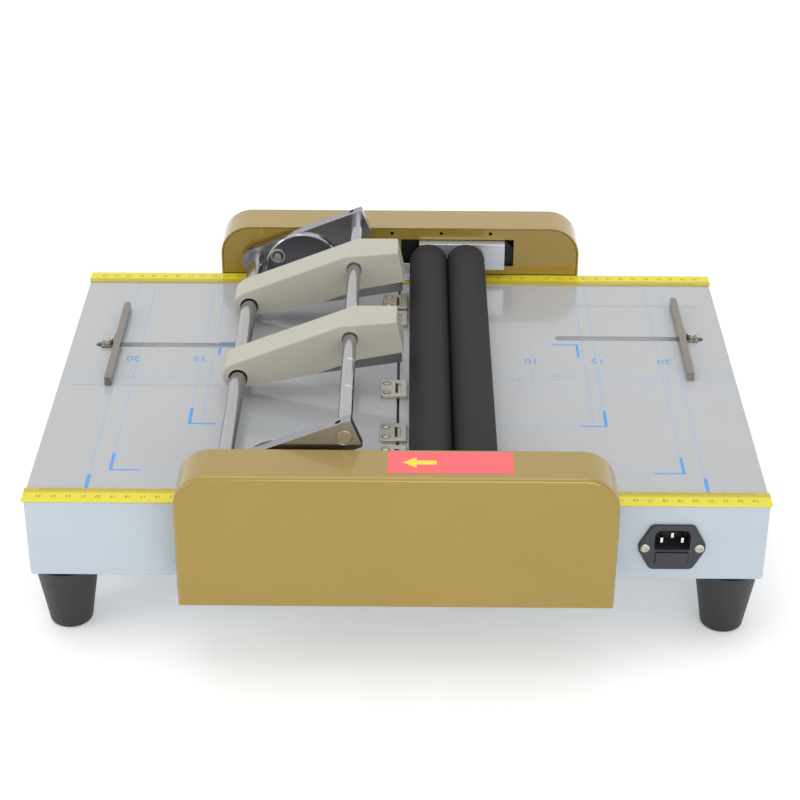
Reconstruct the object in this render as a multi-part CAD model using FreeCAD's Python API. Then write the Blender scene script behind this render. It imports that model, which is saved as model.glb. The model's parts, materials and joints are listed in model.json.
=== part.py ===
import FreeCAD, Part
import math
import os

# Desktop booklet maker: a saddle stapler with two heads and a two-roller folder on one table.
# Units are millimetres. X runs along the table, +Y is the operator's side, +Z is up.
# The origin lies on the floor under the centre of the table.

V = FreeCAD.Vector

# Sides of the rounds that repeat or only clear a shaft
small_sides = 8
boss_sides = 12
seat_sides = 16
bore_sides = 20

# Table and base
table_length = 500.0
table_width = 342.0
foot_height = 52.0
base_height = 60.0
sheet = 1.5
base_corner_radius = 2.5
base_edge_chamfer = 1.5
vent_count = 6
vent_inset = 100.0
vent_pitch = 12.0
vent_width = 4.0
vent_y0 = 40.0
vent_length = 60.0
flange_width = 7.0
seam_width = 2.0
seam_x = 0.0

# Feet
foot_inset_x = 21.0
foot_inset_y = 24.0
foot_top_radius = 22.5
foot_bottom_radius = 15.0
foot_edge = 3.0
foot_collar_radius = 18.0
foot_collar_height = 2.0
foot_stud_radius = 2.5
foot_nut_radius = 5.0
foot_nut_height = 4.0

# Tape rulers along both long edges
ruler_width = 16.3
ruler_thickness = 1.0
ruler_overhang = 1.3
ruler_end_overhang = 1.0

# Gold housings
housing_length = 290.0
housing_depth = 36.0
housing_bottom_z = 53.0
housing_height = 101.6
housing_corner_radius = 24.0
housing_edge = 1.5
housing_gap = 1.5
panel_fit = 0.3
panel_lift = 0.5
panel_window_x0 = 1.0
panel_window_x1 = 92.0
panel_window_z0 = 120.4
panel_window_z1 = 144.3
panel_hole_radius = 1.5
panel_hole_drop = 5.1
panel_hole_xs = (-37.7, -6.5, 33.4, 73.0)

# Side frames inside the housings
frame_plate = 4.0
frame_standoff = 4.5
frame_left_x = -134.0
frame_right_x = 95.0
frame_bottom_z = 57.0
frame_top_z = 148.0
frame_chamfer = 16.0
boss_radius = 6.0

# Folding rollers
roller_radius = 15.0
roller_gap = 0.3
roller_left_x = 23.0
roller_lift = 2.0
roller_end_room = 9.0
roller_shaft_radius = 4.0
bearing_block_x0 = 15.5
bearing_block_x1 = 84.5
bearing_block_z0 = 121.0
bearing_block_z1 = 143.5
bearing_block_gap = 3.0
bearing_outer_radius = 7.0
bearing_width = 5.0
idler_stub_radius = 3.0
idler_collar_radius = 5.0
bush_wall = 3.0
running_clearance = 0.05
seat_clearance = 0.02

# Gears
gear_module = 2.0
pressure_angle = 20.0
root_depth = 1.2
roller_gear_teeth = 15
pinion_teeth = 12
sector_teeth = 54
sector_tooth_count = 5
sector_hub_radius = 11.0
sector_web_radius = 10.0
sector_web_spread = 0.6
gear_width = 8.0
gear_offset = 3.0
tooth_thinning = 0.3
mesh_gap = 0.3
sector_pinion_angle = -55.0
roller_pinion_angle = -135.0

# Stapling frame: two levers joined by two rods, hinged on the pivot rod
pivot_x = -116.0
pivot_rise = 17.0
pivot_rod_radius = 6.0
pivot_rod_end_radius = 5.0
pivot_rod_shoulder_y = 152.0
head_rod_distance = 87.6
lever_angle = 21.9
head_rod_radius = 5.0
lever_inner_y = 160.5
lever_thickness = 10.5
lever_width = 22.0
lever_nose = 13.0
lever_bevel = 7.0
disc_x = -77.4
disc_z = 124.0
disc_radius = 31.0
disc_thickness = 3.0
disc_slot_end = 4.0
disc_slot_lead = 2.0
disc_slot_side = 1.0
bolt_distance = 19.4
bolt_head_radius = 4.0
bolt_head_height = 4.5
bolt_socket_radius = 2.2
bolt_socket_depth = 2.5
bolt_washer_radius = 6.0
bolt_washer_height = 1.2
bolt_shank_radius = 2.5
grub_radius = 2.0
grub_offset = 1.0
grub_tip_gap = 0.1

# Stapling heads
head_ys = (94.7, -18.8)
cover_width = 26.0
cover_sheet = 1.2
cover_edge = 1.2
cover_tail_radius = 3.5
cover_hole_gap = 1.0
cover_tail_x = 5.0
cover_tail_drop = 9.45
cover_belly_x = 55.0
cover_belly_rise = 3.6
cover_step_rise = 16.0
cover_mouth_x = 4.0
cover_mouth_rise = 22.4
cover_nose_x = 1.4
cover_nose_rise = 46.9
cover_crease_x = 6.2
cover_crease_rise = 43.2
cover_back_x = 6.6
cover_back_rise = 10.6
cover_end_x = 12.4
cover_end_rise = 4.0
cover_heel_x = 9.6
cover_heel_drop = 5.2
chassis_width = 14.0
chassis_boss_radius = 7.5
chassis_side_gap = 0.3
chassis_lift = 0.6
chassis_heel_drop = 4.0
chassis_heel_reach = 12.0
chassis_nose_gap = 0.4
chassis_nose_x = 3.2
chassis_top_gap = 2.5
chassis_back_gap = 3.1
magazine_angle = 9.3
magazine_length = 118.9
magazine_outer_width = 18.4
magazine_sheet = 1.2
magazine_bottom = -7.0
magazine_top = 4.0
magazine_ear_radius = 7.5
magazine_floor_gap = 4.0
magazine_nose_drop = 3.0
magazine_nose_length = 12.0
magazine_travel = 5.0
driver_thickness = 0.8
driver_setback = 1.9
driver_slot_setback = 2.1
driver_slot_length = 1.5
driver_slot_gap = 0.5
driver_width = 13.0
driver_top = 23.5
pusher_length = 11.0
pusher_height = 5.0
pusher_setback = 2.5
pusher_side_gap = 0.3
pusher_floor_gap = 0.1
pusher_wall = 2.0
pusher_back = 4.0
pusher_roof = 1.5

# Anvils
anvil_ys = (121.0, 93.0, -18.5, -81.4, -111.5)
anvil_x0 = -12.7
anvil_x1 = 6.4
anvil_width = 24.0
anvil_height = 2.5
anvil_corner = 2.0
anvil_pocket_width = 3.7
anvil_pocket_length = 14.6
anvil_pocket_depth = 1.5
anvil_screw_x = -8.3
anvil_screw_pitch = 13.0
anvil_screw_radius = 2.4
anvil_screw_height = 0.5
anvil_rail_half_width = 14.0
anvil_rail_height = 6.0

# Folding knife and its cam shaft
knife_thickness = 1.0
knife_half_length = 151.0
knife_height = 17.6
knife_rest_drop = 1.1
knife_stroke = 13.5
knife_slit_gap = 1.1
knife_tab_drop = 3.0
knife_tab_length = 5.0
cam_shaft_radius = 5.0
cam_axis_z = 83.0
cam_base_radius = 9.0
cam_turn = 240.0
cam_lead = 10.0
cam_width = 8.0
cam_y = 85.0
cam_gap = 0.3
follower_radius = 2.0
guide_inner_y = 146.0
guide_length = 12.0
guide_width = 16.0
guide_gap = 0.3
guide_top_gap = 1.5
guide_floor_gap = 1.0
knife_motor_radius = 25.0
knife_motor_depth = 23.0
knife_motor_bore = 16.0

# Motors in the base
roller_motor_radius = 17.0
roller_motor_length = 74.0
staple_motor_radius = 20.0
staple_motor_length = 75.0
motor_bracket_plate = 3.0
motor_bracket_y = -152.5
motor_bracket_margin = 4.0
motor_bracket_foot = 8.0
motor_shaft_radius = 4.0
motor_bore_depth = 20.0
shaft_hole_gap = 1.5

# Paper stops: the slots' and bars' places are measured in from the ends of the table
slot_width = 7.0
slot_length = 114.0
left_slot_inset = 19.0
left_slot_y = 50.0
right_slot_inset = 16.0
right_slot_y = 65.0
stop_bar_width = 5.0
stop_bar_height = 7.0
stop_bar_length = 138.0
stop_inset = 17.5
left_stop_y = 39.0
right_stop_y = 52.5
stop_tab_length = 10.0
stop_tab_width = 12.0
stop_tab_height = 2.0
stop_gusset = 1.2
stop_gusset_drop = 1.0
stop_slider_gap = 0.4
stop_slider_lift = 1.2
stop_nut_radius = 3.6
stop_nut_height = 3.5
stop_nut_offset = 0.5
stop_screw_radius = 1.5
stop_screw_tip = 1.2
stop_screw_lift = 0.5
rail_width = 16.0
rail_depth = 6.5
rail_wall = 1.5
rail_end = 4.0

# Power inlet on the rear wall of the base, and the controls on the operator's side
inlet_inset = 64.2
inlet_z = 79.5
inlet_width = 45.2
inlet_height = 35.0
inlet_top_width = 28.9
inlet_flange = 2.5
inlet_body_width = 27.5
inlet_body_height = 31.0
inlet_body_depth = 30.0
socket_width = 24.0
socket_height = 15.5
socket_depth = 16.0
socket_drop = 1.5
socket_chamfer = 5.0
pin_width = 4.0
pin_thickness = 2.0
pin_length = 13.0
pin_pitch = 7.0
pin_rise = 2.0
inlet_screw_pitch = 36.8
inlet_screw_radius = 3.2
inlet_screw_height = 1.4
drawer_width = 22.0
drawer_height = 9.0
drawer_depth = 20.0
drawer_gap = 0.3
drawer_wall = 2.0
drawer_lip = 1.0
rocker_inset = 35.0
button_inset = 70.0
control_z = 82.0
rocker_width = 13.0
rocker_height = 19.0
rocker_frame = 2.0
rocker_bezel = 1.5
rocker_depth = 14.0
rocker_wall = 1.2
rocker_floor = 4.0
rocker_side_gap = 0.3
rocker_end_gap = 0.9
rocker_crown = 2.0
rocker_pivot_depth = 4.0
rocker_back = 3.0
rocker_pin_radius = 1.2
rocker_pin_reach = 0.8
button_radius = 8.0
button_wall = 1.5
button_ring = 3.0
button_ring_height = 2.0
button_travel = 3.0
button_depth = 12.0
button_floor = 2.0
button_gap = 0.3
button_chamfer = 0.8

# Plates and blocks inside the base
board_length = 90.0
board_width = 120.0
board_thickness = 1.6
board_inset = 130.0
board_y0 = -60.0
board_lift = 6.0
board_spacer_radius = 3.0
board_spacer_inset = 5.0
transformer_length = 40.0
transformer_width = 35.0
transformer_height = 28.0
relay_count = 3
relay_pitch = 22.0
relay_length = 15.0
relay_width = 19.0
relay_height = 16.0
board_margin = 10.0

# Roller end brackets on the table
end_bracket_x0 = 3.0
end_bracket_width = 9.0
end_bracket_y = 170.0
end_bracket_foot = 10.0
end_bracket_height = 11.5
end_bracket_sheet = 1.5

# Worked out from the sizes above
half_length = table_length / 2
half_width = table_width / 2
vent_x = half_length - vent_inset
left_slot_x0 = left_slot_inset - half_length
right_slot_x1 = half_length - right_slot_inset
left_stop_x = left_slot_x0 + stop_inset
right_stop_x = right_slot_x1 - stop_inset
inlet_x = half_length - inlet_inset
rocker_x = rocker_inset - half_length
button_x = button_inset - half_length
board_x0 = half_length - board_inset
table_top = foot_height + base_height
table_under = table_top - sheet
roller_half_length = half_width - roller_end_room
bearing_block_inner_y = roller_half_length + bearing_block_gap
ruler_outer = half_width + ruler_overhang
ruler_inner = ruler_outer - ruler_width
ruler_top = table_top + ruler_thickness
housing_inner = half_width + housing_gap
housing_outer = housing_inner + housing_depth
housing_top_z = housing_bottom_z + housing_height
frame_inner = housing_inner + frame_standoff
frame_outer = frame_inner + frame_plate
gear_inner = frame_outer + gear_offset
gear_outer = gear_inner + gear_width
pivot_z = table_top + pivot_rise
head_rod_x = pivot_x + head_rod_distance * math.cos(math.radians(lever_angle))
head_rod_z = pivot_z + head_rod_distance * math.sin(math.radians(lever_angle))
lever_outer = lever_inner_y + lever_thickness
roller_axis_z = table_top + roller_lift + roller_radius
roller_right_x = roller_left_x + 2 * roller_radius + roller_gap
nip_x = (roller_left_x + roller_right_x) / 2
idler_distance = gear_module * roller_gear_teeth + mesh_gap
pinion_distance = gear_module * (roller_gear_teeth + pinion_teeth) / 2 + mesh_gap
idler_z = roller_axis_z - idler_distance
roller_pinion_x = roller_left_x + pinion_distance * math.cos(math.radians(roller_pinion_angle))
roller_pinion_z = idler_z + pinion_distance * math.sin(math.radians(roller_pinion_angle))
sector_radius = gear_module * sector_teeth / 2
sector_distance = gear_module * (sector_teeth + pinion_teeth) / 2 + mesh_gap
staple_pinion_x = pivot_x + sector_distance * math.cos(math.radians(sector_pinion_angle))
staple_pinion_z = pivot_z + sector_distance * math.sin(math.radians(sector_pinion_angle))
floor_z = foot_height + sheet
knife_top = table_top - knife_rest_drop
knife_bottom = knife_top - knife_height


def box(x0, x1, y0, y1, z0, z1):
    """Box between two corners, given in either order."""
    low = V(min(x0, x1), min(y0, y1), min(z0, z1))
    return Part.makeBox(abs(x1 - x0), abs(y1 - y0), abs(z1 - z0), low)


def rod_y(x, z, radius, y0, y1):
    """Cylinder along Y."""
    return Part.makeCylinder(radius, abs(y1 - y0), V(x, min(y0, y1), z), V(0, 1, 0))


def rod_z(x, y, radius, z0, z1):
    """Cylinder along Z."""
    return Part.makeCylinder(radius, z1 - z0, V(x, y, z0))


def rod_x(y, z, radius, x0, x1):
    """Cylinder along X."""
    return Part.makeCylinder(radius, x1 - x0, V(x0, y, z), V(1, 0, 0))


def small_corners(radius, around, sides=small_sides):
    """Corners of a small round, inside its radius, or around it where it is a hole."""
    reach = radius / math.cos(math.pi / sides) if around else radius
    angles = [2 * math.pi * (index + 0.5) / sides for index in range(sides)]
    return [(reach * math.cos(angle), reach * math.sin(angle)) for angle in angles]


def small_y(x, z, radius, y0, y1, around=False, sides=small_sides):
    """Small round along Y."""
    return prism_y([(x + a, z + b) for a, b in small_corners(radius, around, sides)], y0, y1)


def ring_y(x, z, radius, bore, y0, y1):
    """Ring along Y whose bore clears a shaft."""
    solid = small_y(x, z, radius, y0, y1, sides=seat_sides)
    return solid.cut(small_y(x, z, bore, y0, y1, True, bore_sides))


def small_z(x, y, radius, z0, z1, around=False, sides=small_sides):
    """Small round along Z."""
    corners = small_corners(radius, around, sides)
    return Part.Face(polygon([V(x + a, y + b, z0) for a, b in corners])).extrude(V(0, 0, z1 - z0))


def turned_z(rings, sides):
    """Turned solid about the Z axis from (radius, z) rings, with flat sides."""
    loops = [[V(a, b, z) for a, b in small_corners(radius, False, sides)] for radius, z in rings]
    faces = [Part.Face(polygon(loops[0])), Part.Face(polygon(loops[-1]))]
    for low, high in zip(loops, loops[1:]):
        for index in range(sides):
            after = (index + 1) % sides
            faces.append(Part.Face(polygon([low[index], low[after], high[after], high[index]])))
    return Part.makeSolid(Part.makeShell(faces))


def polygon(points):
    """Closed straight-edged wire through points."""
    return Part.makePolygon(list(points) + [points[0]])


def hexagon(x, y, radius, z):
    """Corners of a hexagon that lies flat."""
    angles = [math.radians(60 * index) for index in range(6)]
    return [V(x + radius * math.cos(angle), y + radius * math.sin(angle), z) for angle in angles]


def prism_y(points, y0, y1):
    """Solid with an outline of (x, z) points, drawn along Y."""
    face = Part.Face(polygon([V(x, min(y0, y1), z) for x, z in points]))
    return face.extrude(V(0, abs(y1 - y0), 0))


def prism_yz(x0, x1, points):
    """Solid with an outline of (y, z) points, drawn along X."""
    face = Part.Face(polygon([V(x0, y, z) for y, z in points]))
    return face.extrude(V(x1 - x0, 0, 0))


def arch_wire(x0, x1, z0, z1, radius, y):
    """Outline with square bottom corners and round top corners."""
    lean = radius * (1 - math.sqrt(0.5))
    edges = [
        Part.LineSegment(V(x0, y, z0), V(x1, y, z0)),
        Part.LineSegment(V(x1, y, z0), V(x1, y, z1 - radius)),
        Part.Arc(V(x1, y, z1 - radius), V(x1 - lean, y, z1 - lean), V(x1 - radius, y, z1)),
        Part.LineSegment(V(x1 - radius, y, z1), V(x0 + radius, y, z1)),
        Part.Arc(V(x0 + radius, y, z1), V(x0 + lean, y, z1 - lean), V(x0, y, z1 - radius)),
        Part.LineSegment(V(x0, y, z1 - radius), V(x0, y, z0)),
    ]
    return Part.Wire([edge.toShape() for edge in edges])


def arch_prism(x0, x1, z0, z1, radius, y0, y1):
    """Arch outline drawn along Y."""
    face = Part.Face(arch_wire(x0, x1, z0, z1, radius, min(y0, y1)))
    return face.extrude(V(0, abs(y1 - y0), 0))


def mirrored_y(shape):
    """Copy of a shape on the other side of the machine."""
    return shape.mirror(V(0, 0, 0), V(0, 1, 0))


def save(name, *shapes):
    """Write one node, as separate solids where several shapes are given."""
    shape = shapes[0] if len(shapes) == 1 else Part.makeCompound(list(shapes))
    shape.exportStep("parts/" + name + ".step")


def involute(angle):
    """Involute function of a pressure angle."""
    return math.tan(angle) - angle


def tooth_outline(centre, pitch_radius):
    """Points of one tooth about its centre angle, from its right flank to its left."""
    pressure = math.radians(pressure_angle)
    base_radius = pitch_radius * math.cos(pressure)
    half_pitch = (math.pi * gear_module / 2 - tooth_thinning) / (2 * pitch_radius)
    root_radius = pitch_radius - root_depth * gear_module
    tip_radius = pitch_radius + gear_module
    half_root = half_pitch + involute(pressure)
    half_tip = half_root - involute(math.acos(base_radius / tip_radius))
    return [(root_radius, centre - half_root), (tip_radius, centre - half_tip),
            (tip_radius, centre + half_tip), (root_radius, centre + half_root)]


def gear(x, z, teeth, tooth_angle, bore, y0, y1):
    """Spur gear about a Y axis with one tooth centred on tooth_angle, in degrees."""
    pitch_radius = gear_module * teeth / 2
    points = []
    for index in range(teeth):
        centre = math.radians(tooth_angle) + 2 * math.pi * index / teeth
        points += tooth_outline(centre, pitch_radius)
    outline = [(x + radius * math.cos(a), z + radius * math.sin(a)) for radius, a in points]
    solid = prism_y(outline, y0, y1)
    if bore > 0:
        solid = solid.cut(small_y(x, z, bore, y0, y1, True, bore_sides))
    return solid


def meshed_angle(tooth_angle, teeth, mate_teeth, direction):
    """Tooth angle of a gear that meshes with its mate along a direction from the mate."""
    lead = (tooth_angle - direction) * mate_teeth / teeth
    return direction + 180.0 - lead + 180.0 / teeth


def nearest_tooth(tooth_angle, teeth, direction):
    """Angle of the tooth that lies nearest to a direction."""
    pitch = 360.0 / teeth
    return tooth_angle + round((direction - tooth_angle) / pitch) * pitch


def build_base():
    """Sheet tray, open at the top, with its cut-outs."""
    outer = box(-half_length, half_length, -half_width, half_width, foot_height, table_under)
    upright = [edge for edge in outer.Edges if edge.BoundBox.ZLength > base_height / 2]
    outer = outer.makeFillet(base_corner_radius, upright)
    bottom = [edge for edge in outer.Edges if edge.BoundBox.ZMax < foot_height + 1e-3]
    outer = outer.makeChamfer(base_edge_chamfer, bottom)
    inside = box(-half_length + sheet, half_length - sheet, -half_width + sheet,
                 half_width - sheet, floor_z, table_under - sheet)
    rim = flange_width + sheet
    mouth = box(-half_length + rim, half_length - rim, -half_width + rim, half_width - rim,
                floor_z, table_under)
    tray = outer.cut(inside).cut(mouth)
    reach = half_width + 1
    inner = half_width - 2 * sheet
    shaft_hole = motor_shaft_radius + shaft_hole_gap
    body_w = inlet_body_width / 2 + panel_fit
    body_h = inlet_body_height / 2 + panel_fit
    rocker_w = rocker_width / 2 + panel_fit
    rocker_h = rocker_height / 2 + panel_fit
    cuts = [
        small_y(roller_pinion_x, roller_pinion_z, shaft_hole, -reach, -inner, True),
        small_y(staple_pinion_x, staple_pinion_z, shaft_hole, -reach, -inner, True),
        small_y(nip_x, cam_axis_z, cam_shaft_radius + shaft_hole_gap, inner, reach, True),
        small_y(button_x, control_z, button_radius + panel_fit, inner, reach, True, boss_sides),
        box(inlet_x - body_w, inlet_x + body_w, -reach, -inner, inlet_z - body_h, inlet_z + body_h),
        box(rocker_x - rocker_w, rocker_x + rocker_w, inner, reach,
            control_z - rocker_h, control_z + rocker_h),
    ]
    for x, y in foot_places():
        cuts.append(small_z(x, y, foot_stud_radius + panel_fit, foot_height - 1, floor_z + 1, True))
    for index in range(vent_count):
        x = vent_x + vent_pitch * index
        cuts.append(box(x, x + vent_width, vent_y0, vent_y0 + vent_length, foot_height - 1, floor_z + 1))
    save("base_tray", tray.cut(cuts))


def foot_places():
    """Centres of the four feet."""
    x = half_length - foot_inset_x
    y = half_width - foot_inset_y
    return [(sx * x, sy * y) for sx in (-1, 1) for sy in (-1, 1)]


def build_feet():
    """Tapered rubber feet with their studs and nuts."""
    shoulder = foot_height - foot_collar_height
    foot = turned_z([(foot_bottom_radius - foot_edge, 0), (foot_bottom_radius, foot_edge),
                     (foot_top_radius, shoulder), (foot_collar_radius, shoulder),
                     (foot_collar_radius, foot_height)], bore_sides)
    nut_top = floor_z + foot_nut_height
    stud = small_z(0, 0, foot_stud_radius, foot_height, nut_top)
    nut = Part.Face(polygon(hexagon(0, 0, foot_nut_radius, floor_z))).extrude(V(0, 0, foot_nut_height))
    stud = stud.fuse(nut).removeSplitter()
    save("feet", *[foot.translated(V(x, y, 0)) for x, y in foot_places()])
    return [stud.translated(V(x, y, 0)) for x, y in foot_places()]


def disc_slot(side, low, high):
    """Clearance slot that the lever's disc dips through, in the table or a ruler."""
    reach = disc_radius + disc_slot_end
    y0 = lever_inner_y - disc_thickness - disc_slot_side
    y1 = lever_inner_y + disc_slot_side
    return box(disc_x - reach - disc_slot_lead, disc_x + reach, side * y0, side * y1, low, high)


def slot_cut(x0, y, low, high):
    """Round-ended slot for a paper stop."""
    radius = slot_width / 2
    cut = box(x0 + radius, x0 + slot_length - radius, y - radius, y + radius, low, high)
    for x in (x0 + radius, x0 + slot_length - radius):
        cut = cut.fuse(small_z(x, y, radius, low, high, sides=boss_sides))
    return cut.removeSplitter()


def build_table():
    """Two table sheets with a seam between them, tape rulers and the stop rails."""
    low = table_under
    left = box(-half_length, seam_x - seam_width / 2, -half_width, half_width, low, table_top)
    for side in (-1, 1):
        left = left.cut(disc_slot(side, low - 1, table_top + 1))
    left = left.cut(slot_cut(left_slot_x0, left_slot_y, low - 1, table_top + 1))
    save("table_left", left)
    right = box(seam_x + seam_width / 2, half_length, -half_width, half_width, low, table_top)
    right = right.cut(slot_cut(right_slot_x1 - slot_length, right_slot_y, low - 1, table_top + 1))
    slit = knife_thickness / 2 + knife_slit_gap
    right = right.cut(box(nip_x - slit, nip_x + slit, -knife_half_length - 1,
                          knife_half_length + 1, low - 1, table_top + 1))
    save("table_right", right)
    end = half_length + ruler_end_overhang
    tape = box(-end, end, ruler_inner, ruler_outer, table_top, ruler_top)
    tape = tape.cut(disc_slot(1, table_top - 1, ruler_top + 1))
    save("rulers", tape, mirrored_y(tape))
    rails = []
    for x0, y in ((left_slot_x0, left_slot_y), (right_slot_x1 - slot_length, right_slot_y)):
        rail = box(x0 - rail_end, x0 + slot_length + rail_end, y - rail_width / 2, y + rail_width / 2,
                   low - rail_depth, low)
        channel = rail_width / 2 - rail_wall
        rail = rail.cut(box(x0, x0 + slot_length, y - channel, y + channel,
                            low - rail_depth + rail_wall, low))
        rails.append(rail)
    save("stop_rails", *rails)


def build_stop(name, x, y, outward):
    """Paper stop: a round-ended bar with a tab over the slot and a slider in it."""
    half = stop_bar_length / 2
    radius = stop_bar_width / 2
    top = table_top + stop_bar_height
    bar = box(x - radius, x + radius, y - half + radius, y + half - radius, table_top, top)
    for end in (-1, 1):
        bar = bar.fuse(small_z(x, y + end * (half - radius), radius, table_top, top, sides=boss_sides))
    slot_y = left_slot_y if outward < 0 else right_slot_y
    tab_end = x + outward * (radius + stop_tab_length)
    tab = box(x, tab_end, slot_y - stop_tab_width / 2, slot_y + stop_tab_width / 2,
              table_top, table_top + stop_tab_height)
    gusset = box(x, x + outward * (radius + stop_gusset), slot_y - stop_tab_width / 2,
                 slot_y + stop_tab_width / 2, table_top, top - stop_gusset_drop)
    slider_half = slot_width / 2 - stop_slider_gap
    slider_bottom = table_under - rail_depth + rail_wall + stop_slider_lift
    slider = box(x - radius, tab_end, slot_y - slider_half, slot_y + slider_half,
                 slider_bottom, table_top)
    foot_half = rail_width / 2 - rail_wall - stop_slider_gap
    foot = box(x - radius, tab_end, slot_y - foot_half, slot_y + foot_half,
               slider_bottom, table_under - stop_slider_gap)
    screw_x = x + outward * (radius + stop_tab_length / 2 + stop_nut_offset)
    body = bar.fuse([tab, gusset, slider, foot]).removeSplitter()
    body = body.cut(small_z(screw_x, slot_y, stop_screw_radius + running_clearance,
                            slider_bottom - 1, table_top + stop_tab_height + 1, True))
    save(name + "_stop", body)
    tab_top = table_top + stop_tab_height
    nut = rod_z(screw_x, slot_y, stop_nut_radius, tab_top, tab_top + stop_nut_height)
    shank = small_z(screw_x, slot_y, stop_screw_radius, slider_bottom + stop_screw_lift,
                    tab_top + stop_nut_height + stop_screw_tip)
    save(name + "_stop_nut", nut.fuse(shank).removeSplitter())


def build_anvils():
    """Clinching anvils over the seam, with their screws and the rail under the table."""
    top = table_top + anvil_height
    anvils = []
    screws = []
    for y in anvil_ys:
        plate = box(anvil_x0, anvil_x1, y - anvil_width / 2, y + anvil_width / 2, table_top, top)
        corners = [edge for edge in plate.Edges
                   if edge.BoundBox.ZLength > anvil_height / 2 and edge.BoundBox.XMax < seam_x]
        plate = plate.makeChamfer(anvil_corner, corners)
        pocket = box(seam_x - anvil_pocket_width / 2, seam_x + anvil_pocket_width / 2,
                     y - anvil_pocket_length / 2, y + anvil_pocket_length / 2,
                     top - anvil_pocket_depth, top + 1)
        plate = plate.cut(pocket)
        for sign in (-1, 1):
            sy = y + sign * anvil_screw_pitch / 2
            screws.append(small_z(anvil_screw_x, sy, anvil_screw_radius, top, top + anvil_screw_height))
        anvils.append(plate)
    save("anvils", *anvils)
    rail_end = half_width - flange_width - sheet - panel_fit
    rail = box(seam_x - anvil_rail_half_width, seam_x + anvil_rail_half_width, -rail_end, rail_end,
               table_under - anvil_rail_height, table_under)
    save("anvil_rail", rail)
    return screws


def build_housings():
    """Round-cornered outer shells and the flat panels that close them over the table."""
    half = housing_length / 2
    shell = arch_prism(-half, half, housing_bottom_z, housing_top_z, housing_corner_radius,
                       housing_inner, housing_outer)
    rim = [edge for edge in shell.Edges if edge.BoundBox.YMin > housing_outer - 1e-3]
    shell = shell.makeChamfer(housing_edge, rim)
    cavity = arch_prism(-half + sheet, half - sheet, housing_bottom_z + sheet, housing_top_z - sheet,
                        housing_corner_radius - sheet, housing_inner - 1, housing_outer - sheet)
    shell = shell.cut(cavity)
    save("housing_rear_shell", mirrored_y(shell))
    save("housing_operator_shell", shell)
    inset = sheet + panel_fit
    panel = arch_prism(-half + inset, half - inset, ruler_top + panel_lift, housing_top_z - inset,
                       housing_corner_radius - inset, housing_inner, housing_inner + sheet)
    panel = panel.cut(box(panel_window_x0, panel_window_x1, housing_inner - 1,
                          housing_inner + sheet + 1, panel_window_z0, panel_window_z1))
    for x in panel_hole_xs:
        panel = panel.cut(small_y(x, housing_top_z - panel_hole_drop, panel_hole_radius,
                                  housing_inner - 1, housing_inner + sheet + 1, True))
    panel = panel.cut(small_y(pivot_x, pivot_z, pivot_rod_end_radius + shaft_hole_gap,
                              housing_inner - 1, housing_inner + sheet + 1, True))
    save("housing_panels", panel, mirrored_y(panel))


def side_frame(side):
    """Steel plate on standoffs beside the base, which carries the pivots and rollers."""
    y0 = side * frame_inner
    y1 = side * frame_outer
    c = frame_chamfer
    plate = prism_y([(frame_left_x, frame_bottom_z), (frame_right_x, frame_bottom_z),
                     (frame_right_x, frame_top_z - c), (frame_right_x - c, frame_top_z),
                     (frame_left_x + c, frame_top_z), (frame_left_x, frame_top_z - c)], y0, y1)
    low_z = frame_bottom_z + 2 * boss_radius
    high_z = table_under - 2 * boss_radius
    for x in (frame_left_x + 2 * boss_radius, frame_right_x - 2 * boss_radius):
        for z in (low_z, high_z):
            plate = plate.fuse(prism_y([(v.x, v.y) for v in hexagon(x, z, boss_radius, 0)],
                                       side * half_width, y0))
    rib_gap = panel_fit
    for x in (frame_left_x + 3 * boss_radius, frame_right_x - 5 * boss_radius):
        plate = plate.fuse(box(x, x + 2 * boss_radius, side * (housing_inner + sheet), y0,
                               panel_window_z1 + rib_gap, frame_top_z))
    return plate.removeSplitter()


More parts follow.
